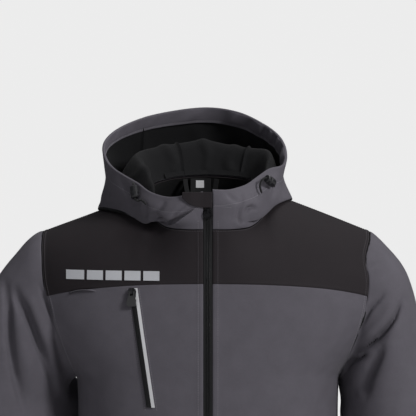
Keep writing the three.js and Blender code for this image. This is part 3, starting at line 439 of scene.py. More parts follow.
def between(at, run, values):
    return np.stack([np.interp(at, run, values[:, axis]) for axis in range(3)], -1)


def inset(points, out, edge, distance, start, stop):
    """The line that runs along an edge of a grid at a distance from it, with its normals."""
    away = to_edge(points, edge)
    if edge in ("left", "right"):
        points = points.swapaxes(0, 1)
        out = out.swapaxes(0, 1)
        away = away.T
    if edge in ("bottom", "right"):
        points = points[::-1]
        out = out[::-1]
        away = away[::-1]
    columns = points.shape[1]
    span = range(round(start * (columns - 1)), round(stop * (columns - 1)) + 1)
    return tuple(
        np.array([between(distance, away[:, i], values[:, i]) for i in span]) for values in (points, out))


def sew(thread, line, out):
    run = np.concatenate([[0], np.cumsum(np.linalg.norm(np.diff(line, axis=0), axis=1))])
    at = np.arange(STITCH / 2, run[-1], STITCH)
    along = between(at + 1, run, line) - between(at - 1, run, line)
    up = unit(between(at, run, out))
    threads[thread].append((between(at, run, line) + up * STITCH_LIFT, along, up))


def sew_along(thread, points, out, edge, distances, start, stop):
    for distance in distances:
        sew(thread, *inset(points, out, edge, distance, start, stop))


SEAM_WIDTH = 1.1
BAND_SLOPE = 1.6
DIMPLE_DEPTH = 0.28
DIMPLE_WIDTH = 0.9


def seam_relief(away, band, depth, height=0, lines=()):
    """Height of cloth beside a seam: sunk in the seam, thick over the band and dimpled by stitches."""
    relief = -depth * np.exp(-((away / SEAM_WIDTH) ** 2))
    if band:
        relief += height * smooth((band - away) / BAND_SLOPE + 0.5)
    for line in lines:
        relief -= DIMPLE_DEPTH * np.exp(-(((away - line) / DIMPLE_WIDTH) ** 2))
    return relief


# Materials
def nodes_of(name):
    material = bpy.data.materials.new(name)
    material.use_nodes = True
    tree = material.node_tree
    return material, tree, tree.nodes["Principled BSDF"]


def new_node(tree, kind, settings=None, **inputs):
    made = tree.nodes.new(kind)
    for name, value in (settings or {}).items():
        setattr(made, name, value)
    for name, value in inputs.items():
        socket = made.inputs[name.replace("_", " ")]
        if hasattr(value, "links"):
            tree.links.new(value, socket)
        else:
            socket.default_value = value
    return made


def tinted(tree, shader, share, colour, spread):
    """A colour that wanders by the same part to both sides of itself."""
    made = tree.nodes.new("ShaderNodeMix")
    made.data_type = "RGBA"
    tree.links.new(share, made.inputs["Factor"])
    made.inputs["A"].default_value = (*(value * (1 - spread) for value in colour), 1)
    made.inputs["B"].default_value = (*(min(value * (1 + spread), 1) for value in colour), 1)
    tree.links.new(made.outputs["Result"], shader.inputs["Base Color"])


def textured(tree, shader, height, relief, distance, wear, roughness, reach):
    """Bumps from a height, and a roughness that wanders with the wear."""
    bump = new_node(tree, "ShaderNodeBump", Strength=relief, Distance=distance, Height=height)
    tree.links.new(bump.outputs["Normal"], shader.inputs["Normal"])
    rough = new_node(tree, "ShaderNodeMapRange", Value=wear,
                     To_Min=roughness - reach, To_Max=min(roughness + reach, 1))
    tree.links.new(rough.outputs["Result"], shader.inputs["Roughness"])


WAVES_IN_THREAD = 0.314


def woven(name, colour, thread=0.0009, relief=0.35, roughness=0.8, sheen=0.15, spread=0.12, fuzz=0.0):
    """Cloth: two crossing sets of threads, uneven colour over large and small patches, and a soft sheen."""
    material, tree, shader = nodes_of(name)
    uv = new_node(tree, "ShaderNodeUVMap", {"uv_map": "cloth"})
    place = tree.nodes.new("ShaderNodeTexCoord").outputs["Object"]
    weave = new_node(tree, "ShaderNodeMath", {"operation": "MAXIMUM"})
    for i, direction in enumerate("XY"):
        settings = {"bands_direction": direction, "wave_profile": "SIN"}
        wave = new_node(tree, "ShaderNodeTexWave", settings, Vector=uv.outputs["UV"],
                        Scale=WAVES_IN_THREAD / thread, Distortion=1.2, Detail=1.0)
        tree.links.new(wave.outputs["Fac"], weave.inputs[i])
    small = new_node(tree, "ShaderNodeTexNoise", Vector=place, Scale=900.0, Detail=2.0)
    large = new_node(tree, "ShaderNodeTexNoise", Vector=place, Scale=38.0, Detail=4.0, Roughness=0.6)
    both = new_node(tree, "ShaderNodeMath", {"operation": "MULTIPLY_ADD"})
    tree.links.new(small.outputs["Fac"], both.inputs[0])
    both.inputs[1].default_value = 0.65
    tree.links.new(large.outputs["Fac"], both.inputs[2])
    share = new_node(tree, "ShaderNodeMapRange", Value=both.outputs["Value"], From_Min=0.5, From_Max=1.15)
    tinted(tree, shader, share.outputs["Result"], colour, spread)
    height = new_node(tree, "ShaderNodeMath", {"operation": "MULTIPLY_ADD"})
    tree.links.new(small.outputs["Fac"], height.inputs[0])
    height.inputs[1].default_value = 0.8 + fuzz * 4
    tree.links.new(weave.outputs["Value"], height.inputs[2])
    textured(tree, shader, height.outputs["Value"], relief, 0.0004, large.outputs["Fac"], roughness, 0.06)
    shader.inputs["Sheen Weight"].default_value = sheen
    shader.inputs["Sheen Roughness"].default_value = 0.4
    shader.inputs["Specular IOR Level"].default_value = 0.3
    return material


def moulded(name, colour, roughness, metallic=0.0, relief=0.15, spread=0.15, coat=0.0):
    """Plastic or coated metal with a fine grain and a little wear in its colour."""
    material, tree, shader = nodes_of(name)
    place = tree.nodes.new("ShaderNodeTexCoord").outputs["Object"]
    fine = new_node(tree, "ShaderNodeTexNoise", Vector=place, Scale=700.0, Detail=3.0)
    broad = new_node(tree, "ShaderNodeTexNoise", Vector=place, Scale=90.0, Detail=3.0)
    tinted(tree, shader, broad.outputs["Fac"], colour, spread)
    textured(tree, shader, fine.outputs["Fac"], relief, 0.0002, fine.outputs["Fac"], roughness, 0.08)
    shader.inputs["Metallic"].default_value = metallic
    shader.inputs["Coat Weight"].default_value = coat
    return material


GREY = woven("shell_grey", (0.115, 0.107, 0.126), sheen=0.06)
BLACK = woven("shell_black", (0.0185, 0.0145, 0.0170), sheen=0.0)
LINING = woven("lining_fleece", (0.0085, 0.0085, 0.0095), thread=0.0016, relief=0.7, roughness=0.95,
               sheen=0.05, fuzz=0.6)
TAPE = woven("tape", (0.010, 0.010, 0.011), thread=0.0007, relief=0.6, roughness=0.7)
THREADS = {
    "grey": woven("thread_grey", (0.21, 0.2, 0.225), relief=0.2),
    "black": woven("thread_black", (0.075, 0.068, 0.076), relief=0.2),
}
COIL = moulded("zip_coil", (0.012, 0.012, 0.013), 0.42)
METAL = moulded("metal_dark", (0.03, 0.03, 0.033), 0.36, metallic=0.85)
PLASTIC = moulded("plastic_black", (0.014, 0.014, 0.016), 0.38, relief=0.25, coat=0.15)
WHITE = woven("white_trim", (0.74, 0.74, 0.76), thread=0.0006, spread=0.04)
REFLECTIVE = woven("reflective_film", (0.56, 0.57, 0.60), thread=0.0012, relief=0.25, roughness=0.42,
                   spread=0.05)
BRAID = woven("cord_braid", (0.012, 0.012, 0.013), thread=0.0008, relief=0.8, roughness=0.7)

# Drawcords: the routes that their solids follow
CORD_RADIUS = 1.5
CORD_POINTS = 90
CORD_SIDES = 12
CORD_TIP = [1.4, 1.25, 0.95, 0.5]
CORD_UV = (0.0094, 0.0005)
CORDS = {
    "left": [
        [-107.6, -57.4, 14.4], [-107.8, -62, 13.4], [-107, -67, 11], [-105.75, -73, 1.5], [-104.5, -79, -8],
        [-101, -83.5, -10.5], [-96.5, -86, -9], [-92, -89, -11.5], [-88.5, -91.5, -16],
    ],
    "right": [
        [96.1, -45.3, 8.9], [95.9, -49.5, 11.2], [94.5, -54, 13.5], [89.5, -60.75, 17.5], [84.5, -67.5, 21.5],
        [80.5, -70.5, 21.5], [76.5, -72.5, 17], [74.8, -73.5, 9.5], [77.5, -74.5, 0],
    ],
}


def line_refined(points):
    points = np.array(points, float)
    last = len(points) - 1
    at = np.linspace(0, last, CORD_POINTS)
    i = np.clip(at.astype(int), 0, last - 1)
    t = (at - i)[:, None]
    before = points[np.maximum(i - 1, 0)]
    after = points[np.minimum(i + 2, last)]
    return hermite(points[i], (points[i + 1] - before) / 2, points[i + 1], (after - points[i]) / 2, t)


def cord(name, path):
    """A round cord along a path, closed at both ends and thinner at its free end."""
    radii = np.full(len(path), CORD_RADIUS)
    radii[-len(CORD_TIP):] = CORD_TIP
    tangent = unit(np.gradient(path, axis=0))
    side = unit(np.cross(tangent, np.array([0.31, 0.2, 0.93])))
    up = np.cross(side, tangent)
    turn = np.linspace(0, 2 * math.pi, CORD_SIDES, endpoint=False)
    ring = np.cos(turn)[None, :, None] * side[:, None] + np.sin(turn)[None, :, None] * up[:, None]
    points = path[:, None] + ring * radii[:, None, None]
    faces = []
    for j in range(0, (len(path) - 1) * CORD_SIDES, CORD_SIDES):
        for i in range(CORD_SIDES):
            k = (i + 1) % CORD_SIDES
            faces.append([j + i, j + k, j + CORD_SIDES + k, j + CORD_SIDES + i])
    faces.append(list(range(CORD_SIDES))[::-1])
    faces.append([(len(path) - 1) * CORD_SIDES + i for i in range(CORD_SIDES)])
    mesh = bpy.data.meshes.new(name)
    mesh.from_pydata((points.reshape(-1, 3) * MM).tolist(), [], faces)
    around, along = CORD_UV
    uv = np.array([[index % CORD_SIDES / CORD_SIDES * around, index // CORD_SIDES * along]
                   for face in faces for index in face])
    mesh.uv_layers.new(name="cloth").data.foreach_set("uv", uv.ravel())
    return link(name, mesh, [BRAID])


for side_name, route in CORDS.items():
    cord(f"cord_{side_name}", line_refined(route))
    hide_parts(f"drawcord_{side_name}")

# Body panels, with the main creases of their solids and finer ones
BODY_CREASES = {
    -1: [
        fold(13, -4, [[-208, -215], [-172, -300], [-150, -390]]),
        fold(13, -4, [[202, -225], [165, -310], [142, -400]]),
        fold(16, -4, [[-176, -470], [-120, -520], [-60, -560]]),
        fold(16, -4, [[172, -450], [110, -500], [52, -530]]),
    ],
    1: [
        fold(15, -4, [[-200, -240], [-150, -330], [-120, -420]]),
        fold(15, -4, [[196, -240], [146, -330], [112, -430]]),
        fold(18, -4, [[-150, -470], [-50, -510], [60, -500]]),
        fold(18, -4, [[150, -540], [60, -575], [-40, -570]]),
    ],
}
FINE_FOLDS = {
    -1: [
        fold(5, -1.6, [[-212, -190], [-190, -225], [-160, -250]]),
        fold(4, -1.4, [[-205, -230], [-180, -262], [-150, -276]]),
        fold(5, -1.8, [[214, -180], [190, -220], [166, -262]]),
        fold(4, -1.4, [[206, -215], [180, -250], [150, -268]]),
        fold(6, -1.4, [[-150, -610], [-80, -640], [-20, -630]]),
        fold(6, -1.4, [[150, -600], [90, -640], [30, -620]]),
    ],
    1: [
        fold(6, -1.6, [[-214, -180], [-160, -230], [-110, -240]]),
        fold(6, -1.6, [[212, -190], [170, -235], [120, -250]]),
        fold(7, -1.5, [[-120, -640], [0, -655], [110, -640]]),
        fold(6, -1.2, [[-80, -300], [0, -318], [90, -300]]),
    ],
}
SPREAD_FADE = 0.12


def body_grid(side, sign, us, face):
    def place(u, v):
        point = lower_panel(side, np.abs(u), v)
        point[..., 0] *= sign * np.where(u < 0, -1, 1)
        share = np.abs(u) ** 3 * smooth((v - ARMPIT_SHARE) / SPREAD_FADE)
        point[..., 0] += np.where(point[..., 0] < 0, BODY_SPREADS[-1], BODY_SPREADS[1]) * share
        return shifted(point)

    points = grid(LOWER_VS, us, place)
    flip = -sign if side is FRONT else 1
    out = normals(points, False, flip)
    across, down = points[..., 0], points[..., 2]
    amount = folded(BODY_CREASES[face], across, down) + folded(FINE_FOLDS[face], across, down)
    amount = amount * (1 - np.abs(us[None]) ** 6)
    points = moved(points, out, amount)
    points[0, :, 2] -= SEAM_GAP
    return points, flip


ALLOWANCE = 3.2
ALLOWANCE_SINK = 3.4


def with_allowance(points, out, edges, sink=ALLOWANCE_SINK):
    """Adds the cloth that is turned under the neighbour at a seam, so that no light comes through it."""
    for edge in edges:
        axis = 0 if edge in ("top", "bottom") else 1
        first, second = (0, 4) if edge in ("top", "left") else (-1, -5)
        rim = np.take(points, [first], axis)
        normal = np.take(out, [first], axis)
        away = rim - np.take(points, [second], axis)
        away = unit(away - normal * (away * normal).sum(-1, keepdims=True))
        extra = rim + away * ALLOWANCE - normal * sink
        order = (extra, points) if first == 0 else (points, extra)
        points = np.concatenate(order, axis)
        out = np.concatenate((normal, out) if first == 0 else (out, normal), axis)
    return points, out


def finish_panel(name, points, flip, relief, colour, sewn, under=(), closed=False):
    """One cut piece: its relief, its stitches, its seam allowances, its thickness and its flat size."""
    out = normals(points, closed, flip)
    points = moved(points, out, relief)
    out = normals(points, closed, flip)
    for edge, distances, stop in sewn:
        sew_along(colour, points, out, edge, distances, 0, stop)
    full, full_out = with_allowance(points, out, under)
    inner = moved(full, full_out, -CLOTH)
    materials = [FACES[colour], LINING]
    piece = shell(f"{name}_cloth", full, inner, materials, closed, flip, [name])
    return points, out


FACES = {"grey": GREY, "black": BLACK}
LOWER_VS = spaced(585, 4.4)
YOKE_VS = spaced(150, 3.4)
YOKE_US = spaced(280, 3.6)
FLANGE = 6.2
ARM_STITCHES = (1.7, 5.2)
YOKE_STITCHES = (1.6, 5.2)
FRONT_BAND = 8.6
FRONT_STITCH = 7.4
HEM_BAND = 22
HEM_STITCH = 20
SHOULDER_BAND = 5
SHOULDER_STITCH = 4


def front_relief(points):
    return seam_relief(to_edge(points, "left"), FRONT_BAND, 0.7, 0.5, (FRONT_STITCH,))


def hem_relief(points):
    return seam_relief(to_edge(points, "bottom"), HEM_BAND, 0.2, 0.5, (HEM_STITCH,))


def arm_relief(points, edge, height):
    return seam_relief(to_edge(points, edge), FLANGE, 0.8, height, ARM_STITCHES)


fronts = {}
arm = (LOWER_VS < ARMPIT_SHARE + 0.01)[:, None]

for name, sign in (("left", -1), ("right", 1)):
    points, flip = body_grid(FRONT, sign, spaced(275, 4.2), -1)
    relief = front_relief(points) + seam_relief(to_edge(points, "top"), 0, 0.7)
    relief += np.where(arm, arm_relief(points, "right", 0.5), 0) + hem_relief(points)
    relief += ripple(points, 34, 3 + sign) * 0.35
    fronts[sign] = finish_panel(f"front_{name}", points, flip, relief, "grey", [
        ("left", (FRONT_STITCH,), 1), ("right", ARM_STITCHES, ARMPIT_SHARE),
        ("bottom", (HEM_STITCH,), 1),
    ], ("top", "right"))

    points = shifted(grid(YOKE_VS, YOKE_US, lambda u, v: yoke(FRONT, u, v) * np.array([sign, 1, 1])))
    relief = front_relief(points) + arm_relief(points, "right", 0.6)
    relief += seam_relief(to_edge(points, "top"), SHOULDER_BAND, 0.5, 0.3, (SHOULDER_STITCH,))
    relief += seam_relief(to_edge(points, "bottom"), 0, 0.5)
    relief += ripple(points, 30, 9 + sign) * 0.3
    finish_panel(f"front_yoke_{name}", points, sign, relief, "black", [
        ("left", (FRONT_STITCH,), 1), ("right", ARM_STITCHES, 1), ("bottom", YOKE_STITCHES[:1], 1),
    ], ("top", "right"))

points, flip = body_grid(BACK, 1, spaced(560, 5.0) * 2 - 1, 1)
relief = seam_relief(to_edge(points, "top"), 0, 0.7) + hem_relief(points)
for edge in ("left", "right"):
    relief += np.where(arm, arm_relief(points, edge, 0.5), 0)
relief += ripple(points, 36, 21) * 0.4
finish_panel("back_panel", points, flip, relief, "grey", [
    ("left", ARM_STITCHES, ARMPIT_SHARE), ("right", ARM_STITCHES, ARMPIT_SHARE),
    ("bottom", (HEM_STITCH,), 1),
], ("top", "left", "right"))

points = grid(YOKE_VS, spaced(560, 4.4) * 2 - 1, lambda u, v: yoke(BACK, np.abs(u), v) * np.stack(
    [np.where(u < 0, -1, 1), np.ones_like(u), np.ones_like(u)], -1))
points = shifted(points)
relief = seam_relief(to_edge(points, "bottom"), 6, 0.6, 0.4, YOKE_STITCHES) + ripple(points, 34, 5) * 0.35
for edge in ("left", "right"):
    relief += arm_relief(points, edge, 0.6)
finish_panel("back_yoke", points, -1, relief, "black", [
    ("left", ARM_STITCHES, 1), ("right", ARM_STITCHES, 1), ("bottom", YOKE_STITCHES, 1),
], ("top", "left", "right"))

# Sleeves
SLEEVE = table("row out_x out_z in_x in_z front back bulge", [
    [0, 237, -59, 193, -275, -76, 81, 15], [1, 247, -63, 196, -281, -77, 81, 19],
    [2, 261, -76, 199, -289, -79, 82, 20], [3, 277, -97, 201, -299, -81, 81, 17],
    [4, 291, -124, 201, -311, -83, 80, 12], [5, 304, -164, 200, -326, -84, 78, 8],
    [6, 314, -215, 201, -345, -85, 75, 4], [7, 324, -272, 204, -372, -86, 70, 1],
    [8, 334, -330, 210, -408, -87, 63, 0], [9, 344, -392, 220, -452, -89, 50, 0],
    [10, 352, -452, 233, -502, -93, 36, 0], [11, 359, -515, 249, -556, -97, 20, 0],
    [12, 365, -580, 267, -612, -100, 2, 0], [13, 370, -668, 288, -690, -100, -16, 0],
])
CUFF_ROW = 13
ARMHOLE_FADE = 4
TUCKS = {"left": (17, 0.62), "right": (8, 0.2)}
TUCK_WIDTH = 28
SLEEVE_CREASES = {
    ("left", -1): [
        fold(8, -7, [[-280, -143], [-262, -169], [-250, -196], [-240, -225], [-229, -254], [-220, -275]]),
        fold(7, -5, [[-291, -130], [-287, -169], [-285, -211], [-279, -254], [-269, -297], [-256, -335]]),
        fold(6, -3, [[-240, -138], [-231, -159], [-223, -180], [-218, -202]]),
        fold(9, -18, [[-219, -205], [-211, -235], [-205, -270], [-207, -310], [-213, -360], [-222, -420]]),
        fold(12, -5, [[-330, -330], [-280, -372], [-240, -382]]),
        fold(12, -5, [[-345, -420], [-300, -436], [-262, -425]]),
        fold(10, -4, [[-350, -470], [-310, -500], [-276, -505]]),
    ],
    ("left", 1): [
        fold(10, -4, [[-300, -150], [-262, -215], [-232, -262]]),
        fold(12, -5, [[-325, -240], [-272, -300], [-232, -330]]),
        fold(12, -4, [[-345, -380], [-300, -420], [-262, -428]]),
    ],
    ("right", -1): [
        fold(5, -4, [[252, -146], [234, -165], [223, -185], [213, -204]]),
        fold(7, -7, [[279, -156], [269, -179], [259, -193], [244, -208], [227, -219], [205, -231]]),
        fold(9, -6, [[256, -212], [239, -245], [229, -268], [226, -292]]),
        fold(8, -12, [[221, -205], [209, -232], [201, -262], [203, -300], [210, -350]]),
        fold(12, -5, [[325, -340], [275, -378], [232, -384]]),
        fold(12, -5, [[338, -430], [295, -440], [255, -428]]),
        fold(10, -4, [[345, -480], [305, -505], [270, -510]]),
    ],
    ("right", 1): [
        fold(10, -4, [[290, -150], [255, -215], [226, -262]]),
        fold(12, -5, [[318, -240], [266, -300], [224, -330]]),
        fold(12, -4, [[338, -380], [292, -420], [255, -428]]),
    ],
}
SLEEVE_FOLD_SCALE = 1.35

# Finer folds of the sleeves where the picture shows them, as columns and rows of the picture
SLEEVE_FOLDS = {
    "left": [
        fold(4.5, -4, [[4, 280], [5.7, 292], [8.6, 311], [10, 340], [14, 370], [21, 400], [27, 425]]),
        fold(5, -5, [
            [15, 288], [17, 298], [25.7, 311], [34, 330], [41, 350], [48.6, 370], [54, 384], [57, 410]]),
        fold(9, 2.5, [[26, 292], [34, 312], [43, 334], [50, 352]]),
        fold(3, -2.5, [[40, 288], [47, 304], [53, 318.6], [56, 333]]),
        fold(9, 2.5, [[10, 300], [20, 335], [28, 370], [36, 405]]),
        fold(8, -3.5, [[50, 372], [53, 392], [54, 420]]),
    ],
    "right": [
        fold(2.4, -2.2, [[384, 294], [382, 297], [371, 308], [363, 322], [356, 336]]),
        fold(2.6, -4.5, [
            [402, 300], [400, 306], [395, 318], [388, 328], [378, 338], [366, 346], [350, 355]]),
        fold(8, 3, [[395, 300], [384, 318], [370, 332], [358, 342]]),
        fold(9, 3, [[402, 322], [388, 340], [376, 352]]),
        fold(3.5, -7, [[367, 356.5], [362, 356], [355, 359], [347, 365]]),
        fold(6, -4, [[385, 343], [374, 364], [367, 380], [366, 396]]),
        fold(2.2, -1.2, [[367, 268], [373, 265], [381, 262]]),
        fold(8, 2.5, [[356, 368], [354, 385], [357, 405]]),
    ],
}


def sleeve_point(row, share, back):
    seam = np.where(back[..., None], read_point(BACK["armhole"], "share", share),
                    read_point(FRONT["armhole"], "share", share))
    value = {name: read(SLEEVE, "row", row, name) for name in SLEEVE}
    fallen = np.clip((seam[..., 2] - SLEEVE["out_z"][0]) / (SLEEVE["in_z"][0] - SLEEVE["out_z"][0]), 0, 1)
    turn = np.arccos(1 - 2 * fallen)
    middle = (value["front"] + value["back"]) / 2
    half = (value["back"] - value["front"]) / 2
    ring = np.stack([
        lerp(value["in_x"], value["out_x"], (1 + np.cos(turn)) / 2) + value["bulge"] * np.sin(turn),
        middle + np.sin(turn) * half * np.where(back, 1, -1),
        lerp(value["in_z"], value["out_z"], (1 + np.cos(turn)) / 2),
    ], -1)
    ring = lerp(seam, ring, smooth(row / ARMHOLE_FADE)[..., None])
    return ring, middle, half, (value["in_x"] + value["out_x"]) / 2


def sleeve_grid(side_name, sign):
    around = np.linspace(0, 2, 120, endpoint=False)
    rows, around = np.meshgrid(spaced(650, 4.2) * CUFF_ROW, around, indexing="ij")
    back = around > 1
    share = np.where(back, 2 - around, around)
    points, middle, half, middle_x = sleeve_point(rows, share, back)
    depth, place = TUCKS[side_name]
    behind = np.exp(-(((points[..., 1] - middle - half * place) / TUCK_WIDTH) ** 2))
    inner = smooth((middle_x - points[..., 0]) / 40) * smooth((rows - 0.5) / 2.5) * smooth((12 - rows) / 3)
    points[..., 0] -= depth * behind * inner
    if sign < 0:
        twist = LEFT_TWIST * smooth((rows - 2) / 3) * smooth((14 - rows) / 5)
        points[..., 0] += LEFT_SPREAD * smooth(rows / 3) - twist * (points[..., 1] - middle)
    points[..., 0] = sign * (points[..., 0] + SEAM_GAP * 1.5)
    points = shifted(points)
    out = normals(points, True, sign)
    edge = np.sin(share * math.pi).clip(0) ** 0.5 * smooth(rows / CUFF_ROW * 18 / 2)
    across, down = points[..., 0], points[..., 2]
    front = folded(SLEEVE_CREASES[side_name, -1], across, down)
    rear = folded(SLEEVE_CREASES[side_name, 1], across, down)
    points = moved(points, out, np.where(back, rear, front) * edge)
    out = normals(points, True, sign)
    facing = smooth((-out[..., 1] - 0.1) / 0.4) * smooth(rows / CUFF_ROW * 30)
    fine = folded(SLEEVE_FOLDS[side_name], *seen(points), SQUARE)
    return moved(points, out, fine * facing * SLEEVE_FOLD_SCALE)


for name, sign in (("left", -1), ("right", 1)):
    points = sleeve_grid(name, sign)
    relief = seam_relief(to_edge(points, "top"), 0, 0.6) + hem_relief(points)
    relief += ripple(points, 30, 40 + sign) * 0.5
    finish_panel(f"sleeve_{name}", points, sign, relief, "grey", [("bottom", (HEM_STITCH,), 1)], closed=True)

# Hood and collar
HOOD = table("angle rim_x rim_y rim_z bag_x bag_y bag_z fold_x fold_y fold_z hang swell", [
    [-4, -7, -106, 2, -7, -105, -30, -7, -104.5, -41, 0, 0],
    [-17, -33, -107, -3, -33, -107, -31, -31, -104, -41, 0, 1],
    [-33, -59, -99, -5, -58, -101, -36, -54, -96, -42, 0, 5],
    [-49, -85, -80, 2, -80, -84, -40, -68, -76, -34, 0.15, 8],
    [-64, -104, -58, 14, -92, -66, -44, -76, -52, -10, 0.5, 8],
    [-80, -128, -32, 26, -112, -44, -38, -86, -24, 22, 0.85, 6],
    [-96, -150, -6, 40, -139, -18, -34, -98, 2, 40, 1, 2],
    [-112, -157, 20, 60, -160, 14, -30, -105, 26, 50, 1, -7],
    [-128, -150, 50, 78, -146, 58, -32, -97, 52, 57, 1, 1],
    [-144, -125, 86, 95, -112, 98, -38, -68, 76, 63, 1, 14],
    [-162, -80, 116, 110, -62, 120, -44, -36, 90, 68, 1, 24],
    [-180, -8, 134, 120, -6, 130, -46, -5, 96, 71, 1, 26],
    [-198, 45, 118, 114, 44, 124, -43, 36, 89, 63, 1, 24],
    [-216, 87, 86, 95, 86, 100, -36, 66, 75, 60, 1, 14],
    [-232, 109, 52, 77, 114, 60, -24, 88, 55, 58, 1, -2],
    [-248, 117, 22, 57, 124, 14, -13, 93, 27, 49, 1, -9],
    [-264, 113, -6, 38, 112, -16, -14, 88, 2, 36, 1, -3],
    [-280, 91, -34, 33, 97, -42, -20, 82, -24, 20, 0.85, 5],
    [-296, 74, -56, 23, 83, -62, -32, 75, -50, -8, 0.5, 7],
    [-311, 56, -75, 12, 70, -80, -38, 66, -74, -34, 0.15, 8],
    [-327, 34, -94, 6, 45, -98, -36, 50, -96, -44, 0, 6],
    [-343, 20, -103, 5, 25, -104, -31, 28, -103, -42, 0, 2],
    [-356, 7, -106, 5, 7, -105, -30, 7, -104.5, -41, 0, 0],
])
HOOD["row"] = np.arange(len(HOOD["angle"]), dtype=float)
HOOD_LAST = len(HOOD["row"]) - 1
HOOD_PARTS = (4, 6, 6, 6)
HOOD_CENTRE_ROWS = (9.6, 12.9)
SHOULDER_CLEARANCE = 3.4
SAMPLE_REACH = 9
RIM_ROLL = 2.1
RIM_STITCH = 21
CASINGS = {"hood_side_left": ("left", 0.05, 0.09), "hood_side_right": ("right", 0.8, 0.98)}
CASING_STITCH = 33
CASING_FRONT = 0.3

samples = []
for side in (FRONT, BACK):
    points = grid(np.linspace(0, 1, 40), np.linspace(0, 1, 80), lambda u, v: yoke(side, u, v))
    out = normals(points, False, 1 if side is FRONT else -1)
    samples.append(np.concatenate([points, out], -1).reshape(-1, 6))
samples = np.concatenate(samples)


def clear_of_yokes(points, clearance):
    """Moves points out to the clearance that the hood keeps over the shoulders."""
    flat = points.reshape(-1, 3)
    folded_in = flat * np.where(flat[:, :1] < 0, -1, 1) ** np.array([1, 0, 0])
    push = np.zeros_like(flat)
    for start in range(0, len(flat), 500):
        part = folded_in[start:start + 500]
        away = part[:, None] - samples[None, :, :3]
        nearest = np.argmin((away ** 2).sum(-1), 1)
        away = away[np.arange(len(part)), nearest]
        out = samples[nearest, 3:]
        above = (away * out).sum(-1)
        lateral = np.sqrt(np.maximum((away ** 2).sum(-1) - above ** 2, 0))
        wanted = clearance.reshape(-1)[start:start + 500]
        amount = np.where((wanted > 0) & (above < wanted) & (lateral <= SAMPLE_REACH), wanted - above, 0)
        push[start:start + 500] = out * amount[:, None]
    push[:, 0] *= np.where(flat[:, 0] < 0, -1, 1)
    return (flat + push).reshape(points.shape)


def hood_section(rows):
    value = {name: read(HOOD, "row", rows, name) for name in HOOD}
    turned = np.abs(value["angle"])
    neck = read_point(NECK, "angle", np.where(turned > 180, 360 - turned, turned))
    neck[..., 0] *= np.where(turned > 180, 1, -1)
    neck[..., 2] += SEAM_GAP * 2.4
    rim, bag, folded_top = (
        np.stack([value[f"{name}_{axis}"] for axis in "xyz"], -1) for name in ("rim", "bag", "fold"))
    outward = unit(np.stack([bag[..., 0], bag[..., 1] + 10, np.zeros_like(bag[..., 0])], -1))
    wall = lerp(bag, rim, 0.5) + outward * value["swell"][..., None]
    return np.stack([neck, folded_top, bag, wall, rim]), np.clip(value["hang"], 0, 1)


def hood_point(section, hang, part, t):
    last = len(section) - 1

    def slope(j):
        along = (section[min(j + 1, last)] - section[max(j - 1, 0)]) / (1 if j in (0, last) else 2)
        if j in (1, 2):
            along[..., 2] *= 1 - hang
        return along

    return hermite(section[part], slope(part), section[part + 1], slope(part + 1), t)


HOOD_SHARES = [(part, t) for part, cells in enumerate(HOOD_PARTS)
               for t in np.linspace(0, 1, cells + 1)[1 if part else 0:]]


def hood_grid(from_row, to_row, cells):
    rows = np.linspace(from_row, to_row, cells + 1)
    section, hang = hood_section(rows)
    points = np.stack([hood_point(section, hang, part, t) for part, t in HOOD_SHARES])
    index = np.array([part * 4 + t * 4 if part else t * 3 for part, t in HOOD_SHARES])
    wanted = SHOULDER_CLEARANCE * np.clip((index + 0.6) / 3, 0, 1)[:, None] * smooth(hang * 4)[None]
    return clear_of_yokes(points, wanted)


def rolled(points, flip):
    """Adds a rounded edge that turns in over the rim of a grid."""
    out = normals(points, False, flip)[-1]
    up = unit(points[-1] - points[-2])
    rows = []
    for turn in np.linspace(0, math.pi, 7)[1:]:
        rows.append(points[-1] + (up * math.sin(turn) - out * (1 - math.cos(turn))) * RIM_ROLL)
    return np.concatenate([points, np.array(rows)])


# Folds of the collar and hood, where the picture shows them, as columns and rows of the picture
COLLAR_FOLDS = [
    fold(7, 5, [[194, 209], [182, 217], [170, 224], [158, 229]], "over"),
    fold(4.5, -7, [[149, 214], [156, 218], [162, 223], [168, 228]]),
    fold(4, -3, [[144.5, 203], [144.5, 210], [146, 219]]),
    fold(4, -2.5, [[166, 200], [160, 208], [152, 214]]),
    fold(3, -2, [[186, 205], [176, 212], [170, 219]]),
    fold(3, -4, [[241.5, 194], [242.5, 202], [240, 210], [238, 218], [242, 227]]),
    fold(3, -5.5, [[245.5, 214], [248.6, 208.5], [252, 206.8], [256.5, 209.5]]),
    fold(4, -2, [[226, 192], [232, 198], [241, 203]]),
    fold(3.5, -1.6, [[262, 183], [257, 194], [256, 204]]),
    fold(5, -2.4, [[120, 180], [128, 192], [132, 208]]),
    fold(5, -2, [[108, 172], [112, 190], [112, 208]]),
    fold(4, -2, [[284, 172], [276, 186], [272, 198]]),
]
# Folds of the hood's sides and back, as millimetres round it and up it
HOOD_FOLDS = [
    fold(9, -3, [[-260, 60], [-230, 20], [-215, -20]]),
    fold(8, -3, [[-170, 70], [-190, 30], [-180, -20]]),
    fold(10, -3.5, [[-90, 95], [-70, 40], [-95, -10]]),
    fold(8, -3, [[-20, 100], [0, 50], [-10, 0]]),
    fold(9, -3, [[60, 95], [40, 40], [66, -5]]),
    fold(8, -3, [[140, 80], [160, 30], [150, -10]]),
    fold(9, -3, [[240, 50], [210, 20], [205, -15]]),
    fold(6, -2, [[-230, -10], [-150, -18], [-60, -26], [40, -24], [140, -18]]),
]
HOOD_RADIUS = 120
CLOSE_LAYERS = 0.95


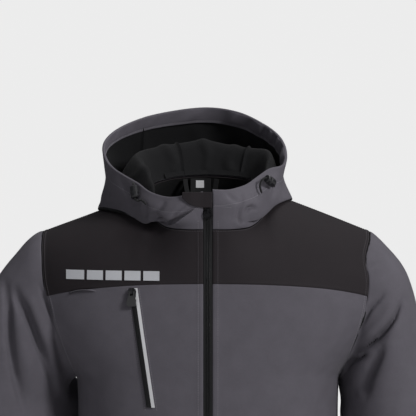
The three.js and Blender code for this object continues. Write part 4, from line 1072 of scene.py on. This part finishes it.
def hood_relief(points, out):
    across, down = seen(points)
    facing = smooth((-out[..., 1] - 0.05) / 0.3) * smooth((-20 - points[..., 1]) / 20)
    relief = folded(COLLAR_FOLDS, across, down, SQUARE) * facing
    turn = np.arctan2(points[..., 0], points[..., 1] + 10) * HOOD_RADIUS
    depth = 1 - CLOSE_LAYERS * smooth((points[..., 0] - 70) / 30) * smooth((60 - points[..., 1]) / 30)
    behind = smooth((points[..., 1] + 60) / 50)
    relief += folded(HOOD_FOLDS, turn, points[..., 2]) * (1 - facing) * behind * depth
    return relief


INNER_LAYER_ROOM = 6
INNER_LAYER_SPOT = (112, 12)
INNER_LAYER_REACH = (22, 34)


def inner_layer_room(points):
    """Draws the hood's hidden layer away from the outer one at the right shoulder, where both lie close."""
    down = np.linspace(0, 1, points.shape[0])[:, None]
    hidden = smooth((down - 0.14) / 0.08) * smooth((0.48 - down) / 0.06)
    away = (points[..., :2] - np.array(INNER_LAYER_SPOT)) / np.array(INNER_LAYER_REACH)
    return INNER_LAYER_ROOM * hidden * np.exp(-(away ** 2).sum(-1))


hood_rows = spaced(330, 3.0, True, False)
for name, start, stop, cells, width, under in (
    ("hood_side_left", 0, HOOD_CENTRE_ROWS[0], 48, 400, ("right",)),
    ("hood_centre", HOOD_CENTRE_ROWS[0], HOOD_CENTRE_ROWS[1], 18, 130, ()),
    ("hood_side_right", HOOD_CENTRE_ROWS[1], HOOD_LAST, 46, 360, ("left",)),
):
    points = refined(hood_grid(start, stop, cells), hood_rows, spaced(width, 3.2))
    out = normals(points, False, -1)
    free = smooth(to_edge(points, "top") / 12)
    relief = (hood_relief(points, out) + ripple(points, 26, 61) * 0.5) * free
    relief += seam_relief(to_edge(points, "top"), 0, 0.5)
    relief += seam_relief(to_edge(points, "bottom"), 0, 0, 0, (RIM_STITCH,))
    relief += inner_layer_room(points)
    for edge in ("left", "right"):
        relief += seam_relief(to_edge(points, edge), 0, 0.7)
    points = rolled(moved(points, out, relief), -1)
    out = normals(points, False, -1)
    sew_along("grey", points, out, "bottom", (RIM_STITCH + math.pi * RIM_ROLL,), 0, 1)
    if name in CASINGS:
        edge, first, last = CASINGS[name]
        sew_along("grey", points, out, edge, (FRONT_STITCH,), 0, CASING_FRONT)
        sew_along("grey", points, out, "top", (CASING_STITCH,), first, last)
    points, out = with_allowance(points, out, under, CLOTH)
    inner = moved(points, out, -CLOTH * 0.8)
    piece = shell(f"{name}_cloth", points, inner, [GREY, LINING], False, -1, [name])

# The rim's turned hem inside the hood, with the gathers that its drawcord draws up
HEM_WIDTHS = table("row width", [
    [0, 6], [4, 7], [7, 12], [9, 17], [11, 21], [14, 24], [17, 23], [19, 10], [22, 6],
])
FACING_GAP = 1.9
GATHERS = 26
GATHER_DEPTH = 4.2
rows = np.linspace(0.2, HOOD_LAST - 0.2, 620)
section, hang = hood_section(rows)
wall = np.linalg.norm(section[4] - section[3], axis=-1)
shares = np.linspace(0, 1, 13)
points = np.stack([
    hood_point(section, hang, 3, (1 - read(HEM_WIDTHS, "row", rows, "width") * (1 - share) / wall)[:, None])
    for share in shares])
out = normals(points, False, -1)
along = (rows - rows[0]) / (rows[-1] - rows[0])
lean = (1 - shares)[:, None] * 0.012
uneven = along[None] + 0.012 * np.sin(along * 31)[None] + lean
strength = 0.18 + 0.82 * smooth((along - 0.42) / 0.12) * smooth((0.86 - along) / 0.1)
wave = 0.5 + 0.5 * np.cos(uneven * GATHERS * 2 * math.pi)
small_wave = 0.5 + 0.5 * np.cos(uneven * GATHERS * 4.6 * math.pi + 1)
middle = np.sin(math.pi * np.clip(shares[:, None] * 0.9 + 0.05, 0, 1)) ** 0.6
relief = (wave ** 1.6 * 0.8 + small_wave * 0.25) * strength[None] * middle * GATHER_DEPTH
relief -= 0.6 * np.exp(-(((shares[:, None] - 0.12) / 0.06) ** 2))
face = moved(points, out, -(CLOTH + FACING_GAP + 1 + relief))
back = moved(points, out, -(CLOTH + FACING_GAP))
piece = shell("hem_facing_cloth", face, back, [GREY], False, 1, ["hood_hem_facing"])
inside = normals(face, False, 1)
for place in (1, 2):
    sew("grey", face[place], inside[place])


# Zip coils and the lines sewn beside the chest pocket
def on_cloth(sign, x, z, gap):
    """A point that lies on a lower front where it is seen from the front, with its normal."""
    points, out = fronts[sign]
    near = np.argmin((points[..., 0] - x) ** 2 + (points[..., 2] - z) ** 2)
    here = points.reshape(-1, 3)[near]
    normal = out.reshape(-1, 3)[near]
    y = here[1] - ((x - here[0]) * normal[0] + (z - here[2]) * normal[2]) / normal[1]
    return np.array([x, y, z]) + normal * gap, normal


POCKET_ZIP = np.array([[-108.5, -133], [-83.7, -302]])
COIL_PITCH = 1.7
COIL_HALF = (1.35, 0.52, 0.6)
POCKET_COIL_HALF = (2.0, 0.5, 0.55)
POCKET_COIL_GAP = 2.1
POCKET_LINES = (-6.2, 10.4)
POCKET_LINE_POINTS = 90
heights = np.arange(-34, HEM_Z + 6, -COIL_PITCH)
depth = read(FRONT["profile"], "z", heights, "y")
places = np.concatenate([
    np.stack([np.full_like(heights, x), depth + 0.15, heights + x * 0.25], 1) for x in (-1.7, 1.9)])
across = np.tile([1.0, 0, 0], (len(places), 1))
front = np.tile([0, -1.0, 0], (len(places), 1))
beads("front_coil", places, across, front, COIL_HALF, COIL)

run = np.linalg.norm(POCKET_ZIP[1] - POCKET_ZIP[0])
slant = (POCKET_ZIP[1] - POCKET_ZIP[0]) / run


def beside_pocket(shift, distances, gap):
    """Points and normals on the left front, along the pocket's zip and shifted sideways from it."""
    found = [on_cloth(-1, *(POCKET_ZIP[0] + [shift, 0] + slant * at), gap) for at in distances]
    return np.array([point for point, _ in found]), np.array([normal for _, normal in found])


places, facing = beside_pocket(0, np.arange(8, run - 3, COIL_PITCH), POCKET_COIL_GAP)
across = np.tile([-slant[1], 0, slant[0]], (len(places), 1))
beads("pocket_coil", places, across, facing, POCKET_COIL_HALF, COIL)
for shift in POCKET_LINES:
    sew("grey", *beside_pocket(shift, np.linspace(0, run + 5, POCKET_LINE_POINTS), 0))

for name, parts in threads.items():
    if parts:
        places, along, up = (np.concatenate([part[k] for part in parts]) for k in range(3))
        beads(f"stitches_{name}", places, along, up, STITCH_HALF, THREADS[name])


# The chin guard as a tab of cloth with rounded edges
def softened(name, node, material, cell, round_off):
    """A smooth cloth piece on the form of a solid, with its sharp edges rounded off."""
    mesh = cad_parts[node].data.copy()
    mesh.materials.clear()
    mesh.transform(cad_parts[node].matrix_world)
    piece = link(name, mesh, [material])
    weld = piece.modifiers.new("weld", "WELD")
    weld.merge_threshold = 0.05 * MM
    remesh = piece.modifiers.new("remesh", "REMESH")
    remesh.mode = "VOXEL"
    remesh.voxel_size = cell * MM
    remesh.use_smooth_shade = True
    relax = piece.modifiers.new("relax", "SMOOTH")
    relax.iterations = round_off
    relax.factor = 0.5
    graph = bpy.context.evaluated_depsgraph_get()
    smooth_mesh = bpy.data.meshes.new_from_object(piece.evaluated_get(graph))
    piece.modifiers.clear()
    piece.data = smooth_mesh
    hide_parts(node)


softened("chin_guard_cloth", "chin_guard", BLACK, 0.55, 5)

# Materials of the solids that stay as they are
for node, material in {
    "front_slider": METAL, "front_pull": METAL, "pocket_slider": METAL, "pocket_pull": PLASTIC,
    "cord_lock_left": PLASTIC, "cord_lock_right": PLASTIC, "neck_tape": LINING, "hanger_loop": TAPE,
    "label_backing": TAPE, "label_blank": WHITE, "front_zip": TAPE, "pocket_zip": TAPE,
    "pocket_piping": WHITE,
    **{f"reflective_bar_{i}": REFLECTIVE for i in range(1, 6)},
}.items():
    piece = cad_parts[node]
    piece.data.materials.clear()
    piece.data.materials.append(material)

# Light, floor and background
scene = bpy.context.scene
scene.view_settings.view_transform = "Standard"
world = bpy.data.worlds.new("studio")
scene.world = world
world.use_nodes = True
tree = world.node_tree
rays = tree.nodes.new("ShaderNodeLightPath")
sky = tree.nodes["Background"]
sky.inputs["Color"].default_value = (0.84, 0.84, 0.84, 1)
sky.inputs["Strength"].default_value = 1
ambient = new_node(tree, "ShaderNodeBackground", Color=(0.92, 0.93, 1, 1), Strength=0.10)
blend = new_node(tree, "ShaderNodeMixShader")
tree.links.new(rays.outputs["Is Camera Ray"], blend.inputs[0])
tree.links.new(ambient.outputs[0], blend.inputs[1])
tree.links.new(sky.outputs[0], blend.inputs[2])
tree.links.new(blend.outputs[0], tree.nodes["World Output"].inputs["Surface"])


def lamp(name, place, size, energy, aim=(0, 0, -0.1)):
    data = bpy.data.lights.new(name, "AREA")
    data.shape = "SQUARE"
    data.size = size
    data.energy = energy
    made = bpy.data.objects.new(name, data)
    scene.collection.objects.link(made)
    made.location = place
    direction = np.array(place) - np.array(aim)
    made.rotation_euler = [
        math.acos(direction[2] / np.linalg.norm(direction)), 0, math.atan2(direction[0], -direction[1])]


lamp("key", (2.5, -2.4, 1.7), 0.9, 84)
lamp("fill", (-1.6, -3.0, 0.4), 1.2, 6)
lamp("top", (0.5, 0.4, 2.3), 1.2, 26)

floor_mesh = bpy.data.meshes.new("floor")
FLOOR_Z = HEM_Z * MM - 0.02
FLOOR_CORNERS = [(-3, -3.3), (3, -3.3), (3, 2.4), (-3, 2.4)]
floor_mesh.from_pydata([(x, y, FLOOR_Z) for x, y in FLOOR_CORNERS], [], [[0, 1, 2, 3]])
floor_piece = bpy.data.objects.new("floor", floor_mesh)
scene.collection.objects.link(floor_piece)
floor_mesh.materials.append(moulded("floor_paint", (0.78, 0.78, 0.78), 0.8, relief=0.02, spread=0.02))
